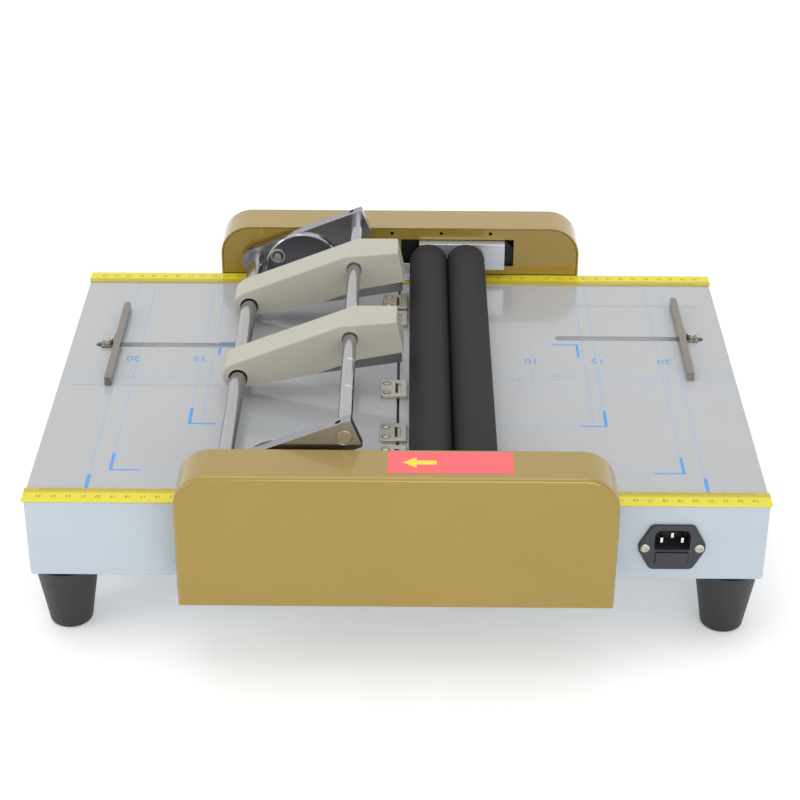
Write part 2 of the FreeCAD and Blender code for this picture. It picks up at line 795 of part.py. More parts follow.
def build_side_frames():
    """Both side frames with their shaft holes, bearing blocks, bearings and pivot bushes."""
    frames = []
    blocks = []
    bearings = []
    bushes = []
    bush_radius = pivot_rod_end_radius + bush_wall
    for side in (-1, 1):
        plate = side_frame(side)
        y0 = side * (half_width - 1)
        y1 = side * (frame_outer + 1)
        shaft_gap = roller_shaft_radius + shaft_hole_gap
        plate = plate.cut(box(roller_left_x - shaft_gap, roller_right_x + shaft_gap, y0, y1,
                              roller_axis_z - shaft_gap, roller_axis_z + shaft_gap))
        plate = plate.cut(small_y(pivot_x, pivot_z, bush_radius + seat_clearance, y0, y1,
                                  sides=seat_sides))
        if side < 0:
            hole = motor_shaft_radius + shaft_hole_gap
            plate = plate.cut(small_y(roller_pinion_x, roller_pinion_z, hole, y0, y1, True))
            plate = plate.cut(small_y(staple_pinion_x, staple_pinion_z, hole, y0, y1, True))
            stub = rod_y(roller_left_x, idler_z, idler_stub_radius, -gear_outer - 1, -frame_outer)
            collar = small_y(roller_left_x, idler_z, idler_collar_radius, -gear_inner, -frame_outer)
            plate = plate.fuse([stub, collar]).removeSplitter()
        else:
            plate = plate.cut(small_y(nip_x, cam_axis_z, cam_shaft_radius + shaft_hole_gap, y0, y1, True))
        frames.append(plate)
        block = box(bearing_block_x0, bearing_block_x1, side * bearing_block_inner_y,
                    side * frame_inner, bearing_block_z0, bearing_block_z1)
        inner = side * bearing_block_inner_y
        for x in (roller_left_x, roller_right_x):
            block = block.cut(small_y(x, roller_axis_z, roller_shaft_radius + 1, inner,
                                      side * frame_inner, True))
            block = block.cut(small_y(x, roller_axis_z, bearing_outer_radius + seat_clearance, inner,
                                      inner + side * bearing_width, sides=seat_sides))
            bearings.append(ring_y(x, roller_axis_z, bearing_outer_radius,
                                   roller_shaft_radius + running_clearance, inner,
                                   inner + side * bearing_width))
        blocks.append(block)
        bushes.append(ring_y(pivot_x, pivot_z, bush_radius, pivot_rod_end_radius + running_clearance,
                             side * frame_inner, side * frame_outer))
    save("side_frames", *frames)
    save("bearing_blocks", *blocks)
    save("roller_bearings", *bearings)
    save("pivot_bushes", *bushes)


def build_rollers():
    """Rubber rollers on steel shafts, with the gear train that turns them."""
    left_tooth = 0.0
    right_tooth = meshed_angle(left_tooth, roller_gear_teeth, roller_gear_teeth, 0.0)
    for name, x, tooth in (("left", roller_left_x, left_tooth),
                           ("right", roller_right_x, right_tooth)):
        sleeve = rod_y(x, roller_axis_z, roller_radius, -roller_half_length, roller_half_length)
        sleeve = sleeve.cut(small_y(x, roller_axis_z, roller_shaft_radius + seat_clearance,
                                    -roller_half_length, roller_half_length, True, bore_sides))
        save("roller_" + name + "_sleeve", sleeve)
        save("roller_" + name + "_shaft", rod_y(x, roller_axis_z, roller_shaft_radius,
                                                -gear_outer - 1, frame_outer + 2))
        save("roller_" + name + "_gear", gear(x, roller_axis_z, roller_gear_teeth, tooth,
                                              roller_shaft_radius + seat_clearance,
                                              -gear_outer, -gear_inner))
    near = nearest_tooth(left_tooth, roller_gear_teeth, -90.0)
    idler_tooth = meshed_angle(near, roller_gear_teeth, roller_gear_teeth, -90.0)
    save("idler_gear", gear(roller_left_x, idler_z, roller_gear_teeth, idler_tooth,
                            idler_stub_radius + running_clearance, -gear_outer, -gear_inner))
    near = nearest_tooth(idler_tooth, roller_gear_teeth, roller_pinion_angle)
    pinion_tooth = meshed_angle(near, pinion_teeth, roller_gear_teeth, roller_pinion_angle)
    pinion = gear(roller_pinion_x, roller_pinion_z, pinion_teeth, pinion_tooth, 0,
                  -gear_outer, -gear_inner)
    face_y = -half_width + sheet
    shaft = rod_y(roller_pinion_x, roller_pinion_z, motor_shaft_radius, -gear_inner,
                  face_y + motor_bore_depth - 1)
    save("roller_motor_pinion", pinion.fuse(shaft))
    motor = small_y(roller_pinion_x, roller_pinion_z, roller_motor_radius, face_y,
                    face_y + roller_motor_length, sides=seat_sides)
    motor = motor.cut(small_y(roller_pinion_x, roller_pinion_z, motor_shaft_radius + running_clearance,
                              face_y, face_y + motor_bore_depth, True))
    save("roller_motor", motor)


def build_staple_drive():
    """Sector gear on the pivot rod, its pinion and the gearmotor on a bracket in the base."""
    pitch = 360.0 / sector_teeth
    inner = -gear_inner
    outer = -gear_outer
    hub = small_y(pivot_x, pivot_z, sector_hub_radius, outer, inner, sides=seat_sides)
    first = sector_pinion_angle - pitch
    root = sector_radius - 1.2 * gear_module
    points = []
    for index in range(sector_tooth_count):
        centre = math.radians(first + pitch * index)
        points += tooth_outline(centre, sector_radius)
    low = math.radians(first - pitch * 0.6)
    high = math.radians(first + pitch * (sector_tooth_count - 0.4))
    points = [(root, low)] + points + [(root, high)]
    outline = [(pivot_x + r * math.cos(a), pivot_z + r * math.sin(a)) for r, a in points]
    for angle in (high + sector_web_spread, low - sector_web_spread):
        outline.append((pivot_x + sector_web_radius * math.cos(angle),
                        pivot_z + sector_web_radius * math.sin(angle)))
    sector = prism_y(outline, outer, inner).fuse(hub).removeSplitter()
    sector = sector.cut(small_y(pivot_x, pivot_z, pivot_rod_end_radius + seat_clearance, outer, inner,
                                True, bore_sides))
    save("sector_gear", sector)
    tooth = meshed_angle(sector_pinion_angle, pinion_teeth, sector_teeth, sector_pinion_angle)
    pinion = gear(staple_pinion_x, staple_pinion_z, pinion_teeth, tooth, 0, outer, inner)
    motor_y = motor_bracket_y + motor_bracket_plate
    shaft = rod_y(staple_pinion_x, staple_pinion_z, motor_shaft_radius, inner,
                  motor_y + motor_bore_depth - 1)
    save("staple_motor_pinion", pinion.fuse(shaft))
    motor = small_y(staple_pinion_x, staple_pinion_z, staple_motor_radius, motor_y,
                    motor_y + staple_motor_length, sides=seat_sides)
    motor = motor.cut(small_y(staple_pinion_x, staple_pinion_z, motor_shaft_radius + running_clearance,
                              motor_y, motor_y + motor_bore_depth, True))
    save("staple_motor", motor)
    half = staple_motor_radius + motor_bracket_margin
    plate = box(staple_pinion_x - half, staple_pinion_x + half, motor_bracket_y, motor_y,
                floor_z, staple_pinion_z + staple_motor_radius)
    foot = box(staple_pinion_x - half, staple_pinion_x + half, motor_bracket_y - motor_bracket_foot,
               motor_bracket_y, floor_z, floor_z + motor_bracket_plate)
    plate = plate.fuse(foot).removeSplitter()
    plate = plate.cut(small_y(staple_pinion_x, staple_pinion_z, motor_shaft_radius + shaft_hole_gap,
                              motor_bracket_y - 1, motor_y + 1, True))
    save("staple_motor_bracket", plate)


def lever_outline():
    """Lever outline in its own frame: x from the pivot towards the nose, z across it."""
    r = lever_width / 2
    nose = head_rod_distance + lever_nose
    bevel = lever_bevel
    edges = [
        Part.LineSegment(V(0, 0, -r), V(nose - bevel, 0, -r)),
        Part.LineSegment(V(nose - bevel, 0, -r), V(nose, 0, -r + bevel)),
        Part.LineSegment(V(nose, 0, -r + bevel), V(nose - bevel, 0, r)),
        Part.LineSegment(V(nose - bevel, 0, r), V(0, 0, r)),
        Part.Arc(V(0, 0, r), V(-r, 0, 0), V(0, 0, -r)),
    ]
    return Part.Face(Part.Wire([edge.toShape() for edge in edges]))


def placed_lever(shape, side):
    """Turn a shape from the lever's own frame into place."""
    turned = shape.copy()
    turned.rotate(V(0, 0, 0), V(0, 1, 0), -lever_angle)
    turned.translate(V(pivot_x, side * lever_inner_y, pivot_z))
    return turned


def build_levers():
    """Levers, discs, bolts, grub screws and the two rods of the stapling frame."""
    discs = []
    bolts = []
    grubs = []
    for side, name in ((-1, "lever_rear"), (1, "lever_operator")):
        outward = V(0, side * lever_thickness, 0)
        lever = lever_outline().extrude(outward)
        y1 = side * lever_thickness
        lever = lever.cut(small_y(0, 0, pivot_rod_end_radius + seat_clearance, 0, y1, True, bore_sides))
        lever = lever.cut(small_y(head_rod_distance, 0, head_rod_radius + seat_clearance, 0, y1, True,
                                  bore_sides))
        lever = lever.cut(small_y(bolt_distance, 0, bolt_shank_radius + seat_clearance, 0, y1, True))
        mid_y = side * lever_thickness / 2
        for x, bore in ((0, pivot_rod_end_radius), (head_rod_distance, head_rod_radius)):
            lever = lever.cut(small_z(x, mid_y, grub_radius + seat_clearance, bore - 1,
                                      lever_width / 2 + 1, True))
            screw = small_z(x, mid_y, grub_radius, bore + grub_tip_gap, lever_width / 2 - grub_offset)
            grubs.append(placed_lever(screw, side))
        save(name, placed_lever(lever, side))
        y_in = side * (lever_inner_y - disc_thickness)
        y_out = side * lever_inner_y
        disc = rod_y(disc_x, disc_z, disc_radius, y_in, y_out)
        bolt_x = pivot_x + bolt_distance * math.cos(math.radians(lever_angle))
        bolt_z = pivot_z + bolt_distance * math.sin(math.radians(lever_angle))
        disc = disc.cut(small_y(bolt_x, bolt_z, bolt_shank_radius + seat_clearance, y_in, y_out, True))
        discs.append(disc)
        washer_top = y_in - side * bolt_washer_height
        bolt = small_y(bolt_x, bolt_z, bolt_washer_radius, y_in, washer_top, sides=boss_sides)
        bolt = bolt.fuse(small_y(bolt_x, bolt_z, bolt_head_radius, washer_top,
                                 washer_top - side * bolt_head_height, sides=boss_sides))
        bolt = bolt.fuse(small_y(bolt_x, bolt_z, bolt_shank_radius, y_in, side * lever_outer))
        socket = [(v.x, v.y) for v in hexagon(bolt_x, bolt_z, bolt_socket_radius, 0)]
        head_y = washer_top - side * bolt_head_height
        bolt = bolt.removeSplitter().cut(prism_y(socket, head_y, head_y + side * bolt_socket_depth))
        bolts.append(bolt)
    save("lever_discs", *discs)
    save("lever_bolts", *bolts)
    save("lever_grub_screws", *grubs)
    shoulder = pivot_rod_shoulder_y
    rod = rod_y(pivot_x, pivot_z, pivot_rod_radius, -shoulder, shoulder)
    rod = rod.fuse(rod_y(pivot_x, pivot_z, pivot_rod_end_radius, -gear_outer - 1, frame_outer + 4))
    save("pivot_rod", rod.removeSplitter())
    save("head_rod", rod_y(head_rod_x, head_rod_z, head_rod_radius, -lever_outer, lever_outer))


def inset_outline(points, distances):
    """Move each side of an outline inwards by its own distance and meet the sides again."""
    lines = []
    count = len(points)
    for index in range(count):
        (x0, z0), (x1, z1) = points[index], points[(index + 1) % count]
        length = math.hypot(x1 - x0, z1 - z0)
        nx, nz = -(z1 - z0) / length, (x1 - x0) / length
        step = distances[index]
        lines.append((x0 + nx * step, z0 + nz * step, x1 - x0, z1 - z0))
    result = []
    for index in range(count):
        ax, az, adx, adz = lines[index - 1]
        bx, bz, bdx, bdz = lines[index]
        cross = adx * bdz - adz * bdx
        along = ((bx - ax) * bdz - (bz - az) * bdx) / cross
        result.append((ax + along * adx, az + along * adz))
    return result


def cover_points():
    """Side outline of a head cover, from its tail's lowest point round past the nose."""
    return [
        (pivot_x - cover_tail_x, pivot_z - cover_tail_drop),
        (pivot_x + cover_belly_x, pivot_z + cover_belly_rise),
        (head_rod_x + cover_crease_x, pivot_z + cover_step_rise),
        (seam_x + cover_mouth_x, pivot_z + cover_mouth_rise),
        (seam_x - cover_nose_x, pivot_z + cover_nose_rise),
        (head_rod_x - cover_crease_x, pivot_z + cover_crease_rise),
        (pivot_x - cover_back_x, pivot_z + cover_back_rise),
        (pivot_x - cover_end_x, pivot_z + cover_end_rise),
        (pivot_x - cover_heel_x, pivot_z - cover_heel_drop),
    ]


def cover_block(points, y0, y1, tail_radius):
    """Solid of the cover's outline with a rounded tail."""
    solid = prism_y(points, y0, y1)
    tail = [edge for edge in solid.Edges
            if edge.BoundBox.YLength > 1 and edge.BoundBox.XMax < pivot_x - cover_back_x - 1]
    return solid.makeFillet(tail_radius, tail)


def head_cover(y):
    """Folded sheet cover, open underneath, with clearance holes for both rods."""
    half = cover_width / 2
    outline = cover_points()
    outer = cover_block(outline, y - half, y + half, cover_tail_radius)
    top = []
    for edge in outer.Edges:
        centre = edge.CenterOfMass
        if edge.BoundBox.YLength < 1e-3 and edge.BoundBox.XLength > 20:
            if centre.z > pivot_z + 0.42 * (centre.x - pivot_x):
                top.append(edge)
    outer = outer.makeChamfer(cover_edge, top)
    open_sides = 3
    distances = [-cover_width / 4 if index < open_sides else cover_sheet
                 for index in range(len(outline))]
    inner = cover_block(inset_outline(outline, distances), y - half + cover_sheet,
                        y + half - cover_sheet, cover_tail_radius - cover_sheet)
    cover = outer.cut(inner)
    for x, z, radius in ((pivot_x, pivot_z, pivot_rod_radius), (head_rod_x, head_rod_z, head_rod_radius)):
        cover = cover.cut(small_y(x, z, radius + cover_hole_gap, y - half - 1, y + half + 1, True,
                                  seat_sides))
    return cover


def placed_magazine(shape, y):
    """Turn a shape from the magazine's own frame into place."""
    turned = shape.copy()
    turned.rotate(V(0, 0, 0), V(0, 1, 0), -magazine_angle)
    turned.translate(V(pivot_x, y, pivot_z))
    return turned


def head_chassis(y):
    """Beam over the magazine with rod bosses and the staple driver at its nose."""
    half = chassis_width / 2
    low_angle = math.radians(magazine_angle + magazine_travel)
    low = magazine_top + chassis_lift

    def low_point(distance):
        return (pivot_x + distance * math.cos(low_angle) - low * math.sin(low_angle),
                pivot_z + distance * math.sin(low_angle) + low * math.cos(low_angle))

    points = [
        (pivot_x, pivot_z - chassis_heel_drop),
        low_point(chassis_heel_reach),
        low_point(magazine_length - chassis_nose_gap),
        (seam_x - chassis_nose_x, pivot_z + cover_nose_rise - chassis_top_gap),
        (head_rod_x - cover_crease_x, pivot_z + cover_crease_rise - chassis_top_gap),
        (pivot_x - chassis_heel_drop, pivot_z + cover_back_rise - chassis_back_gap),
    ]
    beam = prism_y(points, y - half, y + half)
    beam = beam.fuse(small_y(pivot_x, pivot_z, chassis_boss_radius, y - half, y + half, sides=boss_sides))
    wide = cover_width / 2 - cover_sheet - chassis_side_gap
    beam = beam.fuse(small_y(head_rod_x, head_rod_z, chassis_boss_radius, y - wide, y + wide,
                             sides=boss_sides))
    x0 = magazine_length - magazine_sheet - driver_setback
    driver = box(x0, x0 + driver_thickness, -driver_width / 2, driver_width / 2, low, driver_top)
    beam = beam.fuse(placed_magazine(driver, y)).removeSplitter()
    for x, z, radius in ((pivot_x, pivot_z, pivot_rod_radius), (head_rod_x, head_rod_z, head_rod_radius)):
        beam = beam.cut(small_y(x, z, radius + running_clearance, y - half - wide, y + half + wide, True,
                                bore_sides))
    return beam


def head_magazine(y):
    """Staple magazine: a channel hinged on the pivot rod, with a front wall and exit slot."""
    half = magazine_outer_width / 2
    inner = half - magazine_sheet
    ear = magazine_ear_radius
    floor_start = ear + magazine_floor_gap
    nose_top = magazine_top - magazine_nose_drop
    wall_points = [(0, magazine_bottom), (magazine_length, magazine_bottom), (magazine_length, nose_top),
                   (magazine_length - magazine_nose_length, magazine_top), (0, magazine_top)]
    walls = []
    for side in (-1, 1):
        wall = prism_y(wall_points, side * inner, side * half)
        wall = wall.fuse(small_y(0, 0, ear, side * inner, side * half, sides=boss_sides))
        walls.append(wall)
    floor = box(floor_start, magazine_length, -half, half, magazine_bottom,
                magazine_bottom + magazine_sheet)
    front = box(magazine_length - magazine_sheet, magazine_length, -half, half, magazine_bottom, nose_top)
    channel = floor.fuse(walls + [front]).removeSplitter()
    exit_x = magazine_length - magazine_sheet - driver_slot_setback
    exit_half = driver_width / 2 + driver_slot_gap
    channel = channel.cut(box(exit_x, exit_x + driver_slot_length, -exit_half, exit_half,
                              magazine_bottom - 1, magazine_bottom + magazine_sheet))
    channel = channel.cut(small_y(0, 0, pivot_rod_radius + running_clearance, -half - 1, half + 1, True,
                                  bore_sides))
    return placed_magazine(channel, y)


def head_pusher(y):
    """Spring-loaded block that feeds staples towards the nose."""
    end = magazine_length - magazine_sheet - pusher_setback
    half = magazine_outer_width / 2 - magazine_sheet - pusher_side_gap
    floor = magazine_bottom + magazine_sheet + pusher_floor_gap
    block = box(end - pusher_length, end, -half, half, floor, floor + pusher_height)
    block = block.cut(box(end - pusher_length + pusher_back, end + 1, -half + pusher_wall,
                          half - pusher_wall, floor - 1, floor + pusher_height - pusher_roof))
    return placed_magazine(block, y)


def build_heads():
    """Both stapling heads."""
    for index, y in enumerate(head_ys):
        prefix = "head_%d_" % (index + 1)
        save(prefix + "cover", head_cover(y))
        save(prefix + "chassis", head_chassis(y))
        save(prefix + "magazine", head_magazine(y))
        save(prefix + "pusher", head_pusher(y))


def cam_profile():
    """Constant-rise cam, offset by the follower and its gap, with its rest side upwards."""
    rise = knife_stroke / math.radians(cam_turn)
    pitch_start = cam_base_radius + follower_radius + cam_gap
    steps = 20
    lead = math.radians(cam_lead)
    points = []
    for index in range(steps + 1):
        turn = -lead + (math.radians(cam_turn) + 2 * lead) * index / steps
        inside = min(max(turn, 0.0), math.radians(cam_turn))
        radius = pitch_start + rise * inside
        slope = rise if 0.0 <= turn <= math.radians(cam_turn) else 0.0
        length = math.hypot(radius, slope)
        offset = follower_radius + cam_gap
        along = radius - offset * radius / length
        across = offset * slope / length
        angle = math.pi / 2 + turn
        x = along * math.cos(angle) - across * math.sin(angle)
        z = along * math.sin(angle) + across * math.cos(angle)
        points.append((nip_x + x, cam_axis_z + z))
    return points


def build_knife():
    """Folding knife under the nip, its guides, cam shaft and flat gearmotor."""
    half = knife_thickness / 2
    blade = box(nip_x - half, nip_x + half, -knife_half_length, knife_half_length, knife_bottom, knife_top)
    for side in (-1, 1):
        end = side * knife_half_length
        tab = box(nip_x - half, nip_x + half, end - side * knife_tab_length, end,
                  knife_bottom - knife_tab_drop, knife_bottom)
        centre = cam_axis_z + cam_base_radius + cam_gap + follower_radius
        foot = small_y(nip_x, centre, follower_radius, side * cam_y - cam_width / 2 - 1,
                       side * cam_y + cam_width / 2 + 1)
        blade = blade.fuse([tab, foot])
    save("fold_knife", blade.removeSplitter())
    guides = []
    guide_top = table_under - guide_top_gap
    for side in (-1, 1):
        y0 = side * guide_inner_y
        post = box(nip_x - guide_width / 2, nip_x + guide_width / 2, y0, y0 + side * guide_length,
                   floor_z, guide_top)
        slot = half + guide_gap
        slot_end = side * (knife_half_length + guide_gap)
        post = post.cut(box(nip_x - slot, nip_x + slot, y0, slot_end,
                            knife_bottom - knife_tab_drop - guide_floor_gap, guide_top))
        post = post.cut(small_y(nip_x, cam_axis_z, cam_shaft_radius + running_clearance,
                                y0, y0 + side * guide_length, True, bore_sides))
        guides.append(post)
    save("knife_guides", *guides)
    cams = [prism_y(cam_profile(), side * cam_y - cam_width / 2, side * cam_y + cam_width / 2)
            for side in (-1, 1)]
    motor_back = frame_outer + knife_motor_depth
    shaft = rod_y(nip_x, cam_axis_z, cam_shaft_radius, -guide_inner_y - guide_length + 1,
                  frame_outer + knife_motor_bore - 1)
    save("cam_shaft", shaft.fuse(cams).removeSplitter())
    motor = small_y(nip_x, cam_axis_z, knife_motor_radius, frame_outer, motor_back, sides=seat_sides)
    motor = motor.cut(small_y(nip_x, cam_axis_z, cam_shaft_radius + running_clearance, frame_outer,
                              frame_outer + knife_motor_bore, True))
    save("knife_motor", motor)


def build_inlet():
    """Mains inlet with its pins, screws and sliding fuse drawer."""
    wall = -half_width
    tip = inlet_width / 2
    flat = inlet_top_width / 2
    high = inlet_z + inlet_height / 2
    low = inlet_z - inlet_height / 2
    flange = prism_y([(inlet_x - tip, inlet_z), (inlet_x - flat, high), (inlet_x + flat, high),
                      (inlet_x + tip, inlet_z), (inlet_x + flat, low), (inlet_x - flat, low)],
                     wall - inlet_flange, wall)
    half_w = inlet_body_width / 2
    half_h = inlet_body_height / 2
    body = flange.fuse(box(inlet_x - half_w, inlet_x + half_w, wall, wall + inlet_body_depth,
                           inlet_z - half_h, inlet_z + half_h)).removeSplitter()
    front = wall - inlet_flange
    socket_top = inlet_z + half_h - socket_drop
    socket_low = socket_top - socket_height
    sw = socket_width / 2
    c = socket_chamfer
    socket = prism_y([(inlet_x - sw, socket_low), (inlet_x + sw, socket_low),
                      (inlet_x + sw, socket_top - c), (inlet_x + sw - c, socket_top),
                      (inlet_x - sw + c, socket_top), (inlet_x - sw, socket_top - c)],
                     front - 1, front + socket_depth)
    body = body.cut(socket)
    drawer_top = socket_low - drawer_wall
    drawer_low = drawer_top - drawer_height
    dw = drawer_width / 2
    g = drawer_gap
    body = body.cut(box(inlet_x - dw - g, inlet_x + dw + g, front - 1, front + drawer_depth + g,
                        drawer_low - g, drawer_top + g))
    screws = []
    for sign in (-1, 1):
        x = inlet_x + sign * inlet_screw_pitch / 2
        screws.append(small_y(x, inlet_z, inlet_screw_radius, front - inlet_screw_height, front))
    save("power_inlet", body)
    drawer = box(inlet_x - dw, inlet_x + dw, front - drawer_lip, front + drawer_depth, drawer_low,
                 drawer_top)
    drawer = drawer.cut(box(inlet_x - dw + drawer_wall, inlet_x + dw - drawer_wall, front + drawer_wall,
                            front + drawer_depth - drawer_wall, drawer_low + drawer_wall, drawer_top + 1))
    save("fuse_drawer", drawer)
    pin_y0 = front + socket_depth
    pins = []
    centre_z = (socket_low + socket_top) / 2
    for offset, rise in ((-pin_pitch, -pin_rise), (0, pin_rise), (pin_pitch, -pin_rise)):
        x = inlet_x + offset
        z = centre_z + rise
        pins.append(box(x - pin_thickness / 2, x + pin_thickness / 2, pin_y0 - pin_length, pin_y0,
                        z - pin_width / 2, z + pin_width / 2))
    save("inlet_pins", *pins)
    return screws


def build_controls():
    """Power rocker and start button on the operator's side of the base."""
    wall = half_width
    rw = rocker_width / 2
    rh = rocker_height / 2
    face = wall + rocker_bezel
    bezel = box(rocker_x - rw - rocker_frame, rocker_x + rw + rocker_frame, wall, face,
                control_z - rh - rocker_frame, control_z + rh + rocker_frame)
    case = box(rocker_x - rw, rocker_x + rw, wall - rocker_depth, wall, control_z - rh, control_z + rh)
    inner_w = rw - rocker_wall
    inner_h = rh - rocker_wall
    well = box(rocker_x - inner_w, rocker_x + inner_w, wall - rocker_depth + rocker_floor, face + 1,
               control_z - inner_h, control_z + inner_h)
    pivot_y = wall - rocker_pivot_depth
    pin_end = inner_w + rocker_pin_reach
    pin_hole = [(pivot_y + a, control_z + b)
                for a, b in small_corners(rocker_pin_radius + running_clearance, True)]
    frame = bezel.fuse(case).removeSplitter().cut(well)
    frame = frame.cut(prism_yz(rocker_x - pin_end - panel_fit, rocker_x + pin_end + panel_fit, pin_hole))
    ring = small_y(button_x, control_z, button_radius + button_ring, wall, wall + button_ring_height,
                   sides=seat_sides)
    barrel = small_y(button_x, control_z, button_radius, wall - button_depth, wall, sides=boss_sides)
    well_floor = wall - button_depth + button_floor
    socket = small_y(button_x, control_z, button_radius - button_wall, well_floor,
                     wall + button_ring_height + 1, True, seat_sides)
    holder = ring.fuse(barrel).removeSplitter().cut(socket)
    save("switch_holders", frame, holder)
    reach = inner_h - rocker_end_gap
    side_x = inner_w - rocker_side_gap
    crown = face + rocker_crown
    corner = wall + rocker_side_gap
    slope = rocker_crown / 4
    rocker = prism_yz(rocker_x - side_x, rocker_x + side_x,
                      [(pivot_y - rocker_back, control_z), (corner, control_z - reach),
                       (crown, control_z - reach + slope), (face, control_z),
                       (crown, control_z + reach - slope), (corner, control_z + reach)])
    pin = rod_x(pivot_y, control_z, rocker_pin_radius, rocker_x - pin_end, rocker_x + pin_end)
    save("power_rocker", rocker.fuse(pin).removeSplitter())
    cap_back = well_floor + button_travel + button_gap
    cap_front = wall + button_ring_height + button_travel + 1
    cap = small_y(button_x, control_z, button_radius - button_wall - button_gap, cap_back, cap_front,
                  sides=seat_sides)
    rim = [edge for edge in cap.Edges if edge.BoundBox.YMin > wall + button_ring_height]
    save("start_button", cap.makeChamfer(button_chamfer, rim))


def build_board():
    """Control board on four spacers in the base, with its relays and transformer."""
    z = floor_z + board_lift
    x1 = board_x0 + board_length
    y1 = board_y0 + board_width
    part_x = board_x0 + board_margin
    part_y = board_y0 + board_margin
    board = box(board_x0, x1, board_y0, y1, z, z + board_thickness)
    parts = [box(part_x, part_x + transformer_length, part_y, part_y + transformer_width,
                 z, z + transformer_height)]
    relay_y = y1 - board_margin - relay_width
    for index in range(relay_count):
        x = part_x + relay_pitch * index
        parts.append(box(x, x + relay_length, relay_y, relay_y + relay_width, z, z + relay_height))
    for x in (board_x0 + board_spacer_inset, x1 - board_spacer_inset):
        for y in (board_y0 + board_spacer_inset, y1 - board_spacer_inset):
            parts.append(small_z(x, y, board_spacer_radius, floor_z, z))
    save("control_board", board.fuse(parts).removeSplitter())


def build_end_brackets():
    """Small angle brackets on the rulers beside the rollers."""
    x0 = end_bracket_x0
    x1 = x0 + end_bracket_width
    brackets = []
    for side in (-1, 1):
        outer = side * end_bracket_y
        foot = box(x0, x1, outer - side * end_bracket_foot, outer, ruler_top, ruler_top + end_bracket_sheet)
        upright = box(x0, x1, outer - side * end_bracket_sheet, outer, ruler_top,
                      ruler_top + end_bracket_height)
        brackets.append(foot.fuse(upright).removeSplitter())
    save("roller_end_brackets", *brackets)


os.makedirs("parts", exist_ok=True)
build_base()
build_table()
build_stop("left", left_stop_x, left_stop_y, -1)
build_stop("right", right_stop_x, right_stop_y, 1)
build_housings()
build_side_frames()
build_rollers()
build_staple_drive()
build_levers()
build_heads()
build_knife()
build_controls()
build_board()
build_end_brackets()
save("screws", *(build_feet() + build_anvils() + build_inlet()))
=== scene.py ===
import json
import math

import bmesh
import bpy
from mathutils import Matrix, Vector

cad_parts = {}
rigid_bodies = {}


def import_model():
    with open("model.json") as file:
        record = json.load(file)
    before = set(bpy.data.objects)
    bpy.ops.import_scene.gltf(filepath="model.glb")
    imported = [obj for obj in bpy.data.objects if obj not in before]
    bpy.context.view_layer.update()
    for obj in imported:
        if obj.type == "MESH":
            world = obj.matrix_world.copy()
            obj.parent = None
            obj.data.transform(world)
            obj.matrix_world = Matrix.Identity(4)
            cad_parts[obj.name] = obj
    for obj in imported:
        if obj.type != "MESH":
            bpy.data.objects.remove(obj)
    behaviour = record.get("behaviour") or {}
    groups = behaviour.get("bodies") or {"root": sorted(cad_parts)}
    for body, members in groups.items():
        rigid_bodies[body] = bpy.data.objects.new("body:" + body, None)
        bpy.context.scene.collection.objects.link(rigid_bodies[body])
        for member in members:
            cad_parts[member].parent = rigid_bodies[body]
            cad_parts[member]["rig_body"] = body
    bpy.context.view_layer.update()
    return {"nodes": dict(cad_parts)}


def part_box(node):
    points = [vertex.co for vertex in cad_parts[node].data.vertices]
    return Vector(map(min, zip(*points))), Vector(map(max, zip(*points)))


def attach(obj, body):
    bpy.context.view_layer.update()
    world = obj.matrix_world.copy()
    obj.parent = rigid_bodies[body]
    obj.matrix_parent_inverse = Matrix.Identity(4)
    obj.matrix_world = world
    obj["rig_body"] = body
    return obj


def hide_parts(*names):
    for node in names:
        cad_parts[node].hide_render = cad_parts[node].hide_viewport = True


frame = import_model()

# Desktop booklet maker: painted sheet housings, a printed table, rubber rollers and a stapling frame.
# Lengths are metres. X runs along the table, +Y is the operator's side, +Z is up.

mm = 0.001
scene = bpy.context.scene

# Points nearer than weld are one, and a point nearer to a plane than touching lies on it.
weld = 1e-7
touching = 1e-6
# Edges that turn by more than this are kept sharp, and are softened where a piece has a rounding.
crease = math.radians(32)

# Places that follow from the construction
table_low, table_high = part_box("table_left")
table_top = table_high.z
table_end = -table_low.x
table_side = table_high.y
rod_low, rod_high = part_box("pivot_rod")
pivot = (rod_low + rod_high) / 2
head_low, head_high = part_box("head_rod")
head_rod = (head_low + head_high) / 2
tape_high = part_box("rulers")[1]
tape_top = tape_high.z
shell_low, shell_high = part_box("housing_operator_shell")
sheet = 1.5 * mm


# Finishes

def linear(code):
    """Linear colour of an sRGB hex code."""
    channels = [int(code[start:start + 2], 16) / 255 for start in (1, 3, 5)]
    return tuple(c / 12.92 if c <= 0.04045 else ((c + 0.055) / 1.055) ** 2.4 for c in channels) + (1.0,)


def add(tree, kind, values=None, **settings):
    """Adds one node. Each value goes on the input of that name or number, and a socket is linked to it."""
    made = tree.nodes.new("ShaderNode" + kind)
    for key, value in settings.items():
        setattr(made, key, value)
    for key, value in (values or {}).items():
        if isinstance(value, bpy.types.NodeSocket):
            tree.links.new(value, made.inputs[key])
        else:
            made.inputs[key].default_value = value
    return made


